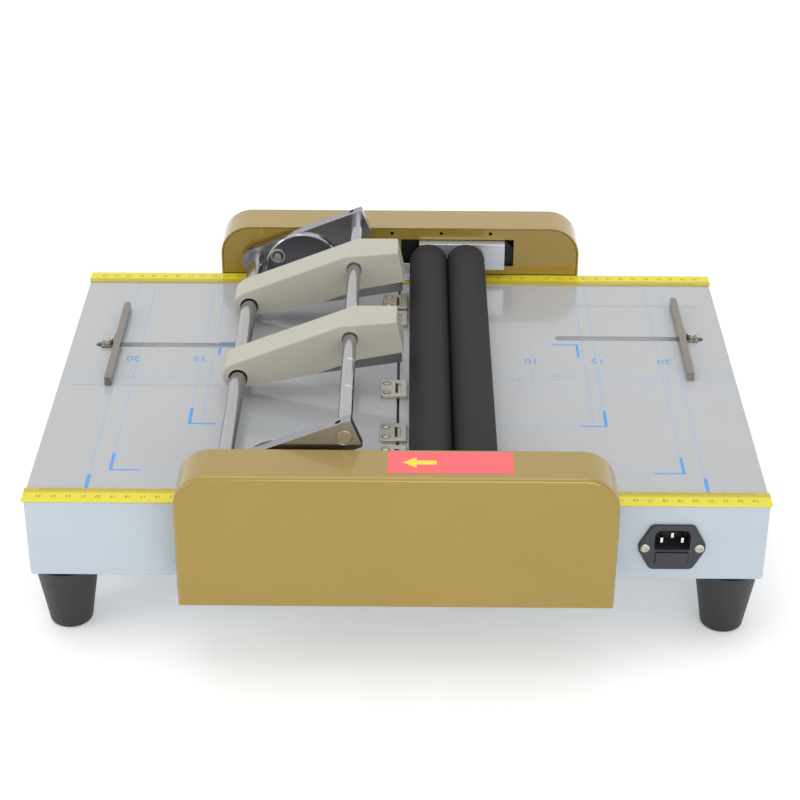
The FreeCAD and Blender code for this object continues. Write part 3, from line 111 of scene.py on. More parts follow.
def surface(name, colours, grain, rough, relief=0.0, stretch=(1, 1, 1), cloud=60.0, spread=0.08, **shader):
    """A finish mottled between two close colours.

    grain is the size of its texture in millimetres, relief the height of that texture in millimetres,
    stretch draws the texture out along an axis, cloud is the size of its broad patches in millimetres,
    and spread is how far its roughness varies.
    """
    blend_low, blend_high = 0.7, 1.3    # the sum of both textures mostly lies between these
    material = bpy.data.materials.new(name)
    material.use_nodes = True
    tree = material.node_tree
    tree.nodes.clear()
    place = add(tree, "TexCoord").outputs["Object"]
    drawn = add(tree, "Mapping", {"Vector": place, "Scale": stretch}).outputs["Vector"]
    fine = add(tree, "TexNoise", {"Vector": drawn, "Scale": 1000 / grain, "Detail": 3.0}).outputs["Fac"]
    broad = add(tree, "TexNoise", {"Vector": place, "Scale": 1000 / cloud, "Detail": 2.0}).outputs["Fac"]
    blend = add(tree, "Math", {0: fine, 1: broad}, operation="ADD").outputs[0]
    share = add(tree, "MapRange", {0: blend, 1: blend_low, 2: blend_high, 3: 0.0, 4: 1.0}).outputs[0]
    colour = add(tree, "Mix", {0: share, 6: linear(colours[0]), 7: linear(colours[1])}, data_type="RGBA")
    gloss = add(tree, "MapRange", {0: blend, 1: blend_low, 2: blend_high,
                                   3: rough - spread / 2, 4: rough + spread / 2})
    values = {"Base Color": colour.outputs[2], "Roughness": gloss.outputs[0]}
    if relief:
        bump = add(tree, "Bump", {"Height": fine, "Strength": 1.0, "Distance": relief * mm})
        values["Normal"] = bump.outputs["Normal"]
    values.update({key.replace("_", " "): value for key, value in shader.items()})
    skin = add(tree, "BsdfPrincipled", values)
    add(tree, "OutputMaterial", {"Surface": skin.outputs[0]})
    return material


def shader_of(material):
    """The main shader of a finish."""
    return next(node for node in material.node_tree.nodes if node.type == "BSDF_PRINCIPLED")


# Powder coat on folded steel: a satin skin with a faint orange peel.
powder_grey = surface("powder_coat_blue_grey", ("#BAC6D1", "#C0CCD6"), 1.6, 0.38, 0.012, spread=0.06)
# Gold lacquer over steel sheet: satin metal flake under a clear glossy coat that brightens its tops.
gold_lacquer = surface("lacquer_gold", ("#9A7F26", "#A0852C"), 1.2, 0.34, 0.006, cloud=80, Metallic=0.15,
                       Coat_Weight=0.8, Coat_Roughness=0.06)
# Stove enamel on the table: smooth, with a clear glossy skin that mirrors what stands on it.
table_enamel = surface("stove_enamel_light_grey", ("#B3B5B8", "#B8B9BC"), 3.0, 0.22, 0.002, spread=0.04,
                       Coat_Weight=0.6, Coat_Roughness=0.05)
# White on the rails under the slots: painted light, brighter than their own light grey, so that the shaded
# floor of each slot shows as light as the table.
slot_rail_painted_light = surface("slot_rail_painted_light", ("#F2F2F2", "#EAEAEB"), 2.0, 0.5, 0.002)
# Beige enamel on the folded covers of the heads: an even satin skin.
beige_enamel = surface("enamel_beige", ("#B9B6A7", "#BEBBAD"), 1.5, 0.32, 0.006, spread=0.06)
# Ground rubber: nearly matt, with fine grinding marks round the roller.
ground_rubber = surface("ground_rubber_black", ("#29282B", "#2F2E31"), 0.7, 0.66, 0.02, (1, 0.2, 1),
                        Specular_IOR_Level=0.2)
# Moulded rubber of the feet: satin black with a faint mould texture.
moulded_rubber = surface("moulded_rubber_black", ("#232428", "#2A2B2F"), 0.9, 0.5, 0.015)
# Polished steel of the rods, the rollers' shafts and the discs' rims: a mirror with a faint haze.
polished_steel = surface("polished_steel", ("#B3B2B5", "#ABAAAD"), 0.8, 0.14, 0.0, spread=0.04, Metallic=1.0)
# Turned faces of the discs: darker than their polished rims.
turned_steel = surface("turned_steel", ("#77777B", "#6C6D72"), 0.6, 0.24, 0.0004, Metallic=1.0)
# Milled bright steel of the levers: fine lines along them.
milled_steel = surface("milled_steel", ("#9F9EA2", "#959499"), 0.6, 0.24, 0.0006, (0.15, 1, 0.4), spread=0.05,
                       Metallic=1.0)
# Ground stainless of the stops: fine lines along the bar, warmer in tone than the levers.
ground_stainless = surface("ground_stainless", ("#948D84", "#8B847B"), 0.6, 0.24, 0.0006, (1, 0.3, 1),
                           spread=0.05, Metallic=1.0)
# Nickel plate on stamped steel: satin and faintly yellow.
nickel_plate = surface("nickel_plate", ("#C6C3B9", "#BEBBB1"), 0.8, 0.34, 0.001, Metallic=0.75)
# Bright zinc plate: pale blue-grey with a faint spangle.
zinc_plate = surface("zinc_plate", ("#D0D3DC", "#C3C7D0"), 2.5, 0.3, 0.002, Metallic=0.7)
# Machined steel of the magazines and the gears: a dull grey sheen.
machined_steel = surface("machined_steel", ("#8E8E90", "#7E7E81"), 0.6, 0.36, 0.002, Metallic=1.0)
# Black oxide on the set screws: dark with a soft sheen. The same black is painted shade on the films round
# the anvil screws and in the anvils' pockets, the disc bolts' seats, the inner frames and the rail under the
# table's seam.
black_oxide = surface("black_oxide", ("#232323", "#2C2C2D"), 0.5, 0.45, 0.001, Metallic=0.6)
# Moulded nylon of the gears and pushers: cream and waxy.
nylon = surface("moulded_nylon", ("#E2DDCC", "#DAD4C2"), 1.5, 0.42, 0.004)
# Sintered bronze of the bushes: matt and porous.
sintered_bronze = surface("sintered_bronze", ("#B98F52", "#A67E45"), 0.4, 0.5, 0.01, Metallic=1.0)
# Dark paint on the motors' cans: satin.
motor_paint = surface("motor_paint", ("#33353A", "#2C2E32"), 1.2, 0.45, 0.01)
# Solder mask on the control board: glossy green.
solder_mask = surface("solder_mask_green", ("#1F5B37", "#1A4D2F"), 3.0, 0.3, 0.003)
# Moulded black plastic: a fine spark-eroded grain.
moulded_black = surface("moulded_plastic_black", ("#2C2E34", "#33353B"), 0.6, 0.44, 0.012)
# Nickel-plated contact pins: bright.
plated_contact = surface("plated_contact", ("#E3E0D8", "#D8D4CA"), 0.6, 0.2, 0.0, Metallic=1.0)
# Moulded green plastic of the start button: smooth and glossy.
moulded_green = surface("moulded_plastic_green", ("#1D8A46", "#1A7D3F"), 0.8, 0.3, 0.005)
# Vinyl film of the red sticker, and the yellow print on it: both satin.
red_vinyl = surface("vinyl_film_red", ("#FB6B6E", "#F76569"), 2.0, 0.4, 0.002)
yellow_vinyl = surface("vinyl_print_yellow", ("#FFE34A", "#FCDF40"), 2.0, 0.4, 0.002)
# Screen-printed inks on the enamel: blue corners and numbers, pale blue thin lines, pale grey lines.
blue_ink = surface("screen_print_blue", ("#4A9BE8", "#5AA5EA"), 1.0, 0.4)
pale_blue_ink = surface("screen_print_pale_blue", ("#92B6DE", "#9DBEE2"), 1.0, 0.4)
pale_grey_ink = surface("screen_print_pale_grey", ("#B3B2B4", "#A9A8AB"), 1.0, 0.4)
# Dark ink of the tapes' divisions and numbers: matt.
tape_ink = surface("tape_ink_grey", ("#8A7F35", "#7C7230"), 1.0, 0.5)


def tape_lacquer():
    """Yellow lacquer of the steel tape: its inner edge is darker than its outer half."""
    bright_width = 11.5 * mm
    blend_width = 2 * mm
    material = surface("tape_lacquer_yellow", ("#E6D930", "#ECDF36"), 1.5, 0.3, 0.002, spread=0.05)
    tree = material.node_tree
    skin = shader_of(material)
    bright = skin.inputs["Base Color"].links[0].from_socket
    place = add(tree, "TexCoord").outputs["Object"]
    across = add(tree, "SeparateXYZ", {"Vector": place}).outputs["Y"]
    distance = add(tree, "Math", {0: across}, operation="ABSOLUTE").outputs[0]
    inner = tape_high.y - bright_width
    share = add(tree, "MapRange", {0: distance, 1: inner, 2: inner + blend_width, 3: 0.0, 4: 1.0}).outputs[0]
    colour = add(tree, "Mix", {0: share, 6: linear("#CDB82E"), 7: bright}, data_type="RGBA")
    tree.links.new(colour.outputs[2], skin.inputs["Base Color"])
    return material


tape_yellow = tape_lacquer()


# Shapes

turns = {"X": Matrix.Rotation(math.pi / 2, 4, "Y"), "Y": Matrix.Rotation(-math.pi / 2, 4, "X"),
         "Z": Matrix.Identity(4)}


def block(bm, low, high):
    """Adds a box between two corners."""
    low, high = Vector(low), Vector(high)
    place = Matrix.Translation((low + high) / 2) @ Matrix.Diagonal((*(high - low), 1))
    bmesh.ops.create_cube(bm, size=1.0, matrix=place)


def cylinder(bm, centre, radius, length, axis="Y", sides=48):
    """Adds a cylinder about its centre, along X, Y or Z."""
    bmesh.ops.create_cone(bm, cap_ends=True, segments=sides, radius1=radius, radius2=radius,
                          depth=length, matrix=Matrix.Translation(centre) @ turns[axis])


def slab(low, high):
    """Box between two corners, as a shape of its own."""
    bm = bmesh.new()
    block(bm, low, high)
    return bm


def peg(centre, radius, length, axis="Y", sides=48):
    """Cylinder about its centre, as a shape of its own."""
    bm = bmesh.new()
    cylinder(bm, centre, radius, length, axis, sides)
    return bm


def lathe(profile, place, axis="Y", steps=96):
    """Shape turned about an axis through place, from (distance along the axis, radius) pairs."""
    bm = bmesh.new()
    points = [bm.verts.new((radius, 0, along)) for along, radius in profile]
    edges = [bm.edges.new(pair) for pair in zip(points, points[1:])]
    bmesh.ops.spin(bm, geom=points + edges, axis=(0, 0, 1), cent=(0, 0, 0), angle=2 * math.pi,
                   steps=steps, use_merge=True)
    bmesh.ops.remove_doubles(bm, verts=bm.verts, dist=weld)
    bm.transform(Matrix.Translation(place) @ turns[axis])
    return bm


def extruded(bm, faces, reach):
    """Draws faces out into a solid."""
    drawn = bmesh.ops.extrude_face_region(bm, geom=faces)["geom"]
    bmesh.ops.translate(bm, verts=[part for part in drawn if isinstance(part, bmesh.types.BMVert)], vec=reach)
    return bm


def outline_prism(points, y0, y1, corners=()):
    """Solid with an outline of (x, z) points drawn along Y. corners gives (point index, radius) pairs."""
    bm = bmesh.new()
    verts = [bm.verts.new((x, y0, z)) for x, z in points]
    bm.faces.new(verts)
    for index, radius in corners:
        bmesh.ops.bevel(bm, geom=[verts[index]], offset=radius, segments=12, profile=0.5,
                        affect="VERTICES", material=-1)
    extruded(bm, bm.faces[:], (0, y1 - y0, 0))
    bmesh.ops.recalc_face_normals(bm, faces=bm.faces)
    return bm


def rectangle(x0, z0, x1, z1):
    """Outline of a rectangle for outline_prism, from its lower left point round to its upper left one."""
    return [(x0, z0), (x1, z0), (x1, z1), (x0, z1)]


def rise(edge):
    """Difference in height between an edge's ends."""
    return abs(edge.verts[0].co.z - edge.verts[1].co.z)


def lies_at(edge, y):
    """Whether an edge keeps to one place along Y."""
    return all(abs(vert.co.y - y) < touching for vert in edge.verts)


def rounded(bm, chosen, radius, segments=4):
    """Rounds the edges that a test chooses."""
    edges = [edge for edge in bm.edges if chosen(edge)]
    bmesh.ops.bevel(bm, geom=edges, offset=radius, segments=segments, profile=0.5, affect="EDGES",
                    material=-1)
    return bm


def as_object(bm, name):
    """Puts a shape in the scene as a plain object."""
    mesh = bpy.data.meshes.new(name)
    bm.to_mesh(mesh)
    bm.free()
    thing = bpy.data.objects.new(name, mesh)
    scene.collection.objects.link(thing)
    return thing


def carve(bm, tool):
    """Cuts one closed shape out of another."""
    for part in (bm, tool):
        bmesh.ops.recalc_face_normals(part, faces=part.faces)
    blank = as_object(bm, "blank")
    cutter = as_object(tool, "cutter")
    cut = blank.modifiers.new("cut", "BOOLEAN")
    cut.object = cutter
    cut.operation = "DIFFERENCE"
    cut.solver = "EXACT"
    result = bmesh.new()
    result.from_object(blank, bpy.context.evaluated_depsgraph_get())
    for thing in (blank, cutter):
        bpy.data.objects.remove(thing)
    return result


def merged(shapes):
    """Joins shapes that stay separate solids into one mesh."""
    bm = bmesh.new()
    for shape in shapes:
        mesh = bpy.data.meshes.new("joined")
        shape.to_mesh(mesh)
        shape.free()
        bm.from_mesh(mesh)
        bpy.data.meshes.remove(mesh)
    return bm


def finish(bm, name, material, body, replaced=(), rounding=0.0):
    """Makes a shape a finished piece: smooth round faces, softened edges, its finish and its body."""
    bmesh.ops.remove_doubles(bm, verts=bm.verts, dist=weld)
    bmesh.ops.recalc_face_normals(bm, faces=bm.faces)
    thing = as_object(bm, name)
    thing.data.materials.append(material)
    thing.data.shade_smooth()
    thing.data.set_sharp_from_angle(angle=crease)
    if rounding:
        soft = thing.modifiers.new("rounding", "BEVEL")
        soft.width = rounding
        soft.segments = 3
        soft.limit_method = "ANGLE"
        soft.angle_limit = crease
    thing.modifiers.new("normals", "WEIGHTED_NORMAL").keep_sharp = True
    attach(thing, body)
    if replaced:
        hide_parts(*replaced)
    return thing


def dressed(node, material, rounding, shortest=None):
    """Piece with a node's own form: a merged copy with smooth round faces and softened edges.

    shortest is the lowest Y that the piece reaches, where its rear end is shorter than its envelope.
    """
    source = frame["nodes"][node]
    bm = bmesh.new()
    bm.from_mesh(source.data)
    bmesh.ops.remove_doubles(bm, verts=bm.verts, dist=weld)
    bmesh.ops.dissolve_limit(bm, angle_limit=math.radians(1), verts=bm.verts, edges=bm.edges)
    if shortest is not None:
        cut = bmesh.ops.bisect_plane(bm, geom=bm.verts[:] + bm.edges[:] + bm.faces[:],
                                     plane_co=(0, shortest, 0), plane_no=(0, 1, 0),
                                     clear_inner=True)["geom_cut"]
        bmesh.ops.contextual_create(bm, geom=[part for part in cut if isinstance(part, bmesh.types.BMEdge)])
    return finish(bm, "show_" + node, material, source["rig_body"], (node,), rounding)


def painted(node, material):
    """A node that keeps its own mesh gets its finish."""
    mesh = frame["nodes"][node].data
    mesh.materials.clear()
    mesh.materials.append(material)


# Base and tapes

def build_base():
    """Folded tray with rounded corners, open on top, with the inlet's opening in its rear wall."""
    corner_radius = 3 * mm
    fold_radius = 2 * mm
    opening_depth = 3.6 * mm
    opening_half_height = 15.8 * mm
    flange_margin = 8.5 * mm
    low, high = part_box("base_tray")
    tray = slab(low, high)
    rounded(tray, lambda edge: rise(edge) > sheet, corner_radius, 6)
    rounded(tray, lambda edge: max(vert.co.z for vert in edge.verts) < low.z + mm, fold_radius, 5)
    hollow = slab((low.x + sheet, low.y + sheet, low.z + sheet),
                  (high.x - sheet, high.y - sheet, high.z + sheet))
    inlet_low, inlet_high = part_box("power_inlet")
    centre = (inlet_low + inlet_high) / 2
    half_width = (inlet_high.x - inlet_low.x) / 2 - flange_margin
    opening = slab((centre.x - half_width, low.y - mm, centre.z - opening_half_height),
                   (centre.x + half_width, low.y + opening_depth, centre.z + opening_half_height))
    finish(carve(carve(tray, hollow), opening), "casing_tray", powder_grey, "frame",
           ("base_tray",))


# Print is a thin film. Lines along X, lines along Y and guide lines differ in height where they cross.
division_film = 0.04 * mm
line_film = 0.03 * mm
guide_film = 0.02 * mm
digit_film = 0.05 * mm


def division(bm, x, y0, y1, z, width, film=division_film):
    """Adds one printed line along Y, a film thick."""
    block(bm, (x - width / 2, min(y0, y1), z), (x + width / 2, max(y0, y1), z + film))


def line_x(bm, x0, x1, y, z, width):
    """Adds one printed line along X, a film thick."""
    block(bm, (min(x0, x1), y - width / 2, z), (max(x0, x1), y + width / 2, z + line_film))


def numbers(name, marks, size, z, material):
    """Numbers that read from the operator's side. marks holds (text, x, y) for the middle of each."""
    bm = bmesh.new()
    for text, x, y in marks:
        curve = bpy.data.curves.new("digit", "FONT")
        curve.body = text
        curve.size = size
        curve.align_x = "CENTER"
        curve.align_y = "CENTER"
        curve.extrude = digit_film / 2
        curve.resolution_u = 3
        letter = bpy.data.objects.new("digit", curve)
        scene.collection.objects.link(letter)
        mesh = bpy.data.meshes.new_from_object(letter.evaluated_get(bpy.context.evaluated_depsgraph_get()))
        mesh.transform(Matrix.Translation((x, y, z + digit_film / 2)) @ Matrix.Rotation(math.pi, 4, "Z"))
        bm.from_mesh(mesh)
        bpy.data.objects.remove(letter)
        bpy.data.meshes.remove(mesh)
    finish(bm, name, material, "frame")


def build_tapes():
    """Steel tapes along both edges, with millimetre divisions and a number at each centimetre."""
    division_start, number_middle = 15.8 * mm, 6 * mm   # both in from the tape's outer edge
    division_width, number_size = 0.22 * mm, 4.2 * mm
    shortest, fifth_extra, tenth_extra = 2.2, 0.9, 1.2  # millimetres
    slot_start, slot_end = -114, -42    # where the disc's slot takes the operator's tape, in millimetres
    dressed("rulers", tape_yellow, 0.25 * mm)
    last = int(table_end / (10 * mm)) - 1
    lines = bmesh.new()
    for side in (-1, 1):
        inner = side * (tape_high.y - division_start)
        for step in range(-10 * last, 10 * last + 1):
            if side > 0 and slot_start < step < slot_end:
                continue
            length = (shortest + fifth_extra * (step % 5 == 0) + tenth_extra * (step % 10 == 0)) * mm
            division(lines, step * mm, inner, inner + side * length, tape_top, division_width)
    finish(lines, "tape_divisions", tape_ink, "frame")
    marks = [(str(abs(step)), step * 10 * mm, side * (tape_high.y - number_middle))
             for side in (-1, 1) for step in range(-last, last + 1)]
    numbers("tape_numbers", marks, number_size, tape_top, tape_ink)


# Table print, in millimetres. A paper corner is its distance from the fold and its edge's place along Y.
corner_a3 = (210.0, -155.0)
corner_8k = (196.5, -130.7)
corner_a4 = (148.5, -67.7)
corner_16k = (136.0, 54.4)
scale_y = 0.0
scale_start = 71.0
left_scale_start = 133.0
scale_end = 244.0
left_line_end = -14.0
left_slot_edge = 46.3
bold_width = 2.2
fine_width = 0.5
guide_width = 0.7
guide_end = 150.0
# Guide lines that run the table's depth: distance from the fold, and where each starts along Y
guide_starts = ((corner_a3[0], -137.0), (corner_8k[0], -109.5), (corner_a4[0], -46.5), (139.7, -66.5))


def build_print():
    """Centimetre scales, paper corners and long guide lines, screen printed on both table sheets."""
    bold, thin, guide, grey = (bmesh.new() for _ in range(4))
    z = table_top
    for side in (-1, 1):
        left = side < 0
        near = left_scale_start if left else scale_start
        fifth, plain = ((0.0, 17.0), (0.0, 8.5)) if left else ((-24.0, 19.0), (-11.5, 3.5))
        line_x(thin, side * near * mm, side * scale_end * mm, scale_y, z, fine_width * mm)
        for centimetre in range(math.ceil(near / 10), int(scale_end / 10) + 1):
            y0, y1 = fifth if centimetre % 5 == 0 else plain
            division(thin, side * centimetre * 10 * mm, y0 * mm, y1 * mm, z, fine_width * mm)
        for (reach, edge), length in ((corner_8k, 20.0), (corner_a4, 19.0)):
            x = side * reach * mm
            inner = x - side * length * mm
            division(bold, x, edge * mm, (edge + 21.5) * mm, z, bold_width * mm)
            line_x(bold, x + side * bold_width / 2 * mm, inner, edge * mm, z, 1.6 * mm)
            line_x(thin, inner, (left_line_end if left else scale_start) * mm, edge * mm, z, fine_width * mm)
        division(bold, side * corner_a3[0] * mm, corner_a3[1] * mm, (corner_a3[1] + 18) * mm, z, 2.6 * mm)
        # Each guide line is left open at the numbers and at the stop's slot.
        slot_start, slot_end = (46.0, 55.0) if left else (61.0, 69.0)
        for reach, guide_start in guide_starts:
            for start, stop in ((guide_start, 24.0), (34.0, slot_start), (slot_end, guide_end)):
                division(guide, side * reach * mm, start * mm, stop * mm, z, guide_width * mm, guide_film)
        x = side * corner_16k[0] * mm
        slot_edge = left_slot_edge if left else corner_16k[1]
        division(bold, x, (corner_16k[1] - 20) * mm, slot_edge * mm, z, 2.0 * mm)
        line_x(bold, x + side * mm, x - side * 19.5 * mm, corner_16k[1] * mm, z, 1.6 * mm)
    for x0, x1, y, width in ((112, 238, 119.8, 1.2), (114, 132, 5.5, 1.2), (-131, -240, -12.3, 0.8)):
        line_x(grey, x0 * mm, x1 * mm, y * mm, z, width * mm)
    finish(bold, "print_corners", blue_ink, "frame")
    finish(thin, "print_lines", pale_blue_ink, "frame")
    finish(guide, "print_guides", pale_blue_ink, "frame")
    finish(grey, "print_grey_lines", pale_grey_ink, "frame")
    marks = [(str(c), side * c * 10 * mm, 28.5 * mm) for side in (-1, 1) for c in (10, 15, 20)
             if side > 0 or c > 10]
    numbers("print_numbers", marks, 10.5 * mm, z, blue_ink)


# Housings

shell_radius = 24 * mm
shell_edge = 3 * mm


def build_housing(side, node, name):
    """Deep-drawn shell with a rounded rim, open towards the table."""
    inner, outer = side * shell_low.y, side * shell_high.y

    def arch(inset, y0, y1):
        """The housing's outline, drawn in on all sides."""
        points = rectangle(shell_low.x + inset, shell_low.z + inset,
                           shell_high.x - inset, shell_high.z - inset)
        return outline_prism(points, y0, y1, ((2, shell_radius - inset), (3, shell_radius - inset)))

    shell = rounded(arch(0, inner, outer), lambda edge: lies_at(edge, outer), shell_edge, 8)
    back = outer - side * sheet
    cavity = rounded(arch(sheet, inner - side * mm, back), lambda edge: lies_at(edge, back),
                     shell_edge - sheet, 5)
    finish(carve(shell, cavity), name, gold_lacquer, "frame", (node,), 0.25 * mm)


def build_panels():
    """Panels that close the housings, with the roller window, the pivot hole and four small holes."""
    gap = 1.8 * mm
    lift = 0.5 * mm
    tool_length = 4 * mm
    window_low = Vector((1.0, 0, 120.4)) * mm
    window_high = Vector((92.0, 0, 144.3)) * mm
    hole_height = shell_high.z - 5.1 * mm
    radius = shell_radius - gap
    outline = rectangle(shell_low.x + gap, tape_top + lift, shell_high.x - gap, shell_high.z - gap)
    for side, name in ((-1, "panel_rear"), (1, "panel_operator")):
        y0 = side * shell_low.y
        y1 = y0 + side * sheet
        panel = outline_prism(outline, y0, y1, ((2, radius), (3, radius)))
        low, high = sorted((y0 - side * mm, y1 + side * mm))
        tool = slab((window_low.x, low, window_low.z), (window_high.x, high, window_high.z))
        middle = (y0 + y1) / 2
        cylinder(tool, (pivot.x, middle, pivot.z), 6.5 * mm, tool_length)
        for x in (-37.7, -6.5, 33.4, 73.0):
            cylinder(tool, (x * mm, middle, hole_height), 1.5 * mm, tool_length, sides=24)
        replaced = ("housing_panels",) if side < 0 else ()
        finish(carve(panel, tool), name, gold_lacquer, "frame", replaced, 0.2 * mm)


def build_label():
    """Plain red sticker with a yellow arrow on the rear housing's top."""
    sticker_film = 0.12 * mm
    arrow_film = 0.08 * mm
    top = shell_high.z
    low = Vector((-5.8, -201.0, 0)) * mm
    high = Vector((76.0, -174.6, 0)) * mm
    sticker = slab((low.x, low.y, top), (high.x, high.y, top + sticker_film))
    rounded(sticker, lambda edge: rise(edge) > touching, 1.2 * mm)
    finish(sticker, "label_red", red_vinyl, "frame")
    tip = Vector((4.0, -188.0)) * mm
    shape = ((0, 0), (9, 6.5), (9, 2.4), (22, 2.4), (22, -2.4), (9, -2.4), (9, -6.5))
    base = top + sticker_film
    arrow = bmesh.new()
    face = arrow.faces.new([arrow.verts.new((tip.x + x * mm, tip.y - y * mm, base)) for x, y in shape])
    finish(extruded(arrow, [face], (0, 0, arrow_film)), "label_arrow", yellow_vinyl, "frame")


# Rollers and the stapling frame

def build_rollers():
    """Rubber sleeves with softened ends, a little longer than their solids."""
    run_on = 2.6 * mm
    bore = 4.1 * mm
    for side in ("left", "right"):
        node = "roller_" + side + "_sleeve"
        low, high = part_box(node)
        centre = (low + high) / 2
        half = (high.y - low.y) / 2 + run_on
        radius = (high.z - low.z) / 2
        profile = [(-half, bore), (-half, radius), (half, radius), (half, bore), (-half, bore)]
        finish(lathe(profile, centre), "rubber_" + side, ground_rubber, "roller_" + side,
               (node,), 0.8 * mm)


disc_face = 157.5 * mm
lever_face = 160.5 * mm
lever_back = 169.0 * mm
lever_half = 11 * mm
rod_end_radius = 5 * mm


def mirrored_lathe(side, profile, place, steps=96):
    """Shape turned about an axis along Y, on one side of the table."""
    return lathe([(side * along, radius) for along, radius in profile], place, steps=steps)


def build_levers():
    """Milled levers: a rounded tail, a square-cut nose, seats for both rods and their set screws' holes."""
    nose_reach = 8.6 * mm
    round_tail = lever_half - 0.2 * mm
    screw_y, screw_radius = 165.75 * mm, 2.1 * mm
    screw_floor, screw_length = 5 * mm, 10 * mm
    seat_radius, seat_length = 5.6 * mm, 1.2 * mm
    reach = head_rod - pivot
    length = math.hypot(reach.x, reach.z)
    turn = Matrix.Rotation(-math.atan2(reach.z, reach.x), 4, "Y")
    outline = rectangle(-lever_half, -lever_half, length + nose_reach, lever_half)
    for side, node in ((-1, "lever_rear"), (1, "lever_operator")):
        lever = outline_prism(outline, side * lever_face, side * lever_back,
                              ((0, round_tail), (2, 1.5 * mm), (3, round_tail)))
        for hole in (0, length):
            screw = (hole, side * screw_y, screw_floor + screw_length / 2)
            lever = carve(lever, peg(screw, screw_radius, screw_length, "Z", 32))
            lever = carve(lever, peg((hole, side * lever_back, 0), seat_radius, seat_length))
        lever.transform(Matrix.Translation((pivot.x, 0, pivot.z)) @ turn)
        finish(lever, "milled_" + node, milled_steel, "staple_frame", (node,), 0.3 * mm)


def build_rods():
    """Pivot rod with turned-down ends, and head rod with two ring grooves."""
    thick = 6 * mm
    thin = rod_end_radius
    shoulder = 152 * mm
    places = ((rod_low.y, 0), (rod_low.y, thin), (-shoulder, thin), (-shoulder, thick), (shoulder, thick),
              (shoulder, thin), (rod_high.y, thin), (rod_high.y, 0))
    finish(lathe([(y - pivot.y, radius) for y, radius in places], pivot), "rod_pivot", polished_steel,
           "staple_frame", ("pivot_rod",), 0.4 * mm)
    groove_width = 0.9 * mm
    deep = thin - 0.5 * mm
    profile = [(-lever_back, 0), (-lever_back, thin)]
    for y in (-108.4, -69.8):
        start = y * mm
        end = start + groove_width
        profile += [(start, thin), (start, deep), (end, deep), (end, thin)]
    profile += [(lever_back, thin), (lever_back, 0)]
    finish(lathe(profile, (head_rod.x, 0, head_rod.z)), "rod_head", polished_steel, "staple_frame",
           ("head_rod",), 0.25 * mm)


def build_discs():
    """Round discs on the levers: a dark turned face, sunk in a bright rim that is bevelled inwards."""
    rim_width = 1.6 * mm
    bevel = 0.8 * mm
    recess = 0.3 * mm
    low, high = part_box("lever_discs")
    centre = (low + high) / 2
    place = (centre.x, 0, centre.z)
    radius = (high.z - low.z) / 2
    land = radius - rim_width
    inner, outer = disc_face, lever_face
    plate = ((inner + recess, 0), (inner + recess, land), (outer - recess, land), (outer - recess, 0))
    rim = ((inner, land), (inner, radius - bevel), (inner + bevel, radius), (outer, radius), (outer, land),
           (inner, land))
    for side, name in ((-1, "disc_rear"), (1, "disc_operator")):
        replaced = ("lever_discs",) if side < 0 else ()
        finish(mirrored_lathe(side, plate, place), name, turned_steel, "staple_frame",
               replaced)
        finish(mirrored_lathe(side, rim, place), name + "_rim", polished_steel, "staple_frame",
               (), 0.1 * mm)


def build_bolts():
    """Bolt on each disc: a washer ring, a black disc inside it as painted shade round the head, and a small
    socket head.
    """
    washer_radius, washer_height = 6 * mm, 1.2 * mm
    seat_radius, shade_disc_height, shade_disc_depth = 4.4 * mm, 0.3 * mm, 0.5 * mm
    head_radius, head_height = 3.1 * mm, 4.2 * mm
    socket_radius, socket_length = 1.5 * mm, 4 * mm
    low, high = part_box("lever_bolts")
    centre = (low + high) / 2
    place = (centre.x, 0, centre.z)
    face = disc_face
    washer_top = face - washer_height
    shade_disc_top, shade_disc_floor = face - shade_disc_height, face + shade_disc_depth
    head_top = face - head_height
    washer = ((face, seat_radius), (face, washer_radius), (washer_top, washer_radius),
              (washer_top, seat_radius), (face, seat_radius))
    # The black disc in the washer's hole is painted shade round the bolt's head.
    shade_disc = ((shade_disc_floor, 0), (shade_disc_floor, seat_radius), (shade_disc_top, seat_radius), (shade_disc_top, 0))
    head = ((face, 0), (face, head_radius), (head_top, head_radius), (head_top, 0))
    for side, name in ((-1, "bolt_rear"), (1, "bolt_operator")):
        replaced = ("lever_bolts",) if side < 0 else ()
        finish(mirrored_lathe(side, washer, place, 64), name + "_washer", nickel_plate, "staple_frame",
               replaced, 0.2 * mm)
        finish(mirrored_lathe(side, shade_disc, place, 64), name + "_seat", black_oxide, "staple_frame")
        socket = peg((centre.x, side * head_top, centre.z), socket_radius, socket_length, sides=6)
        finish(carve(mirrored_lathe(side, head, place, 64), socket), name + "_head", nickel_plate,
               "staple_frame", (), 0.3 * mm)


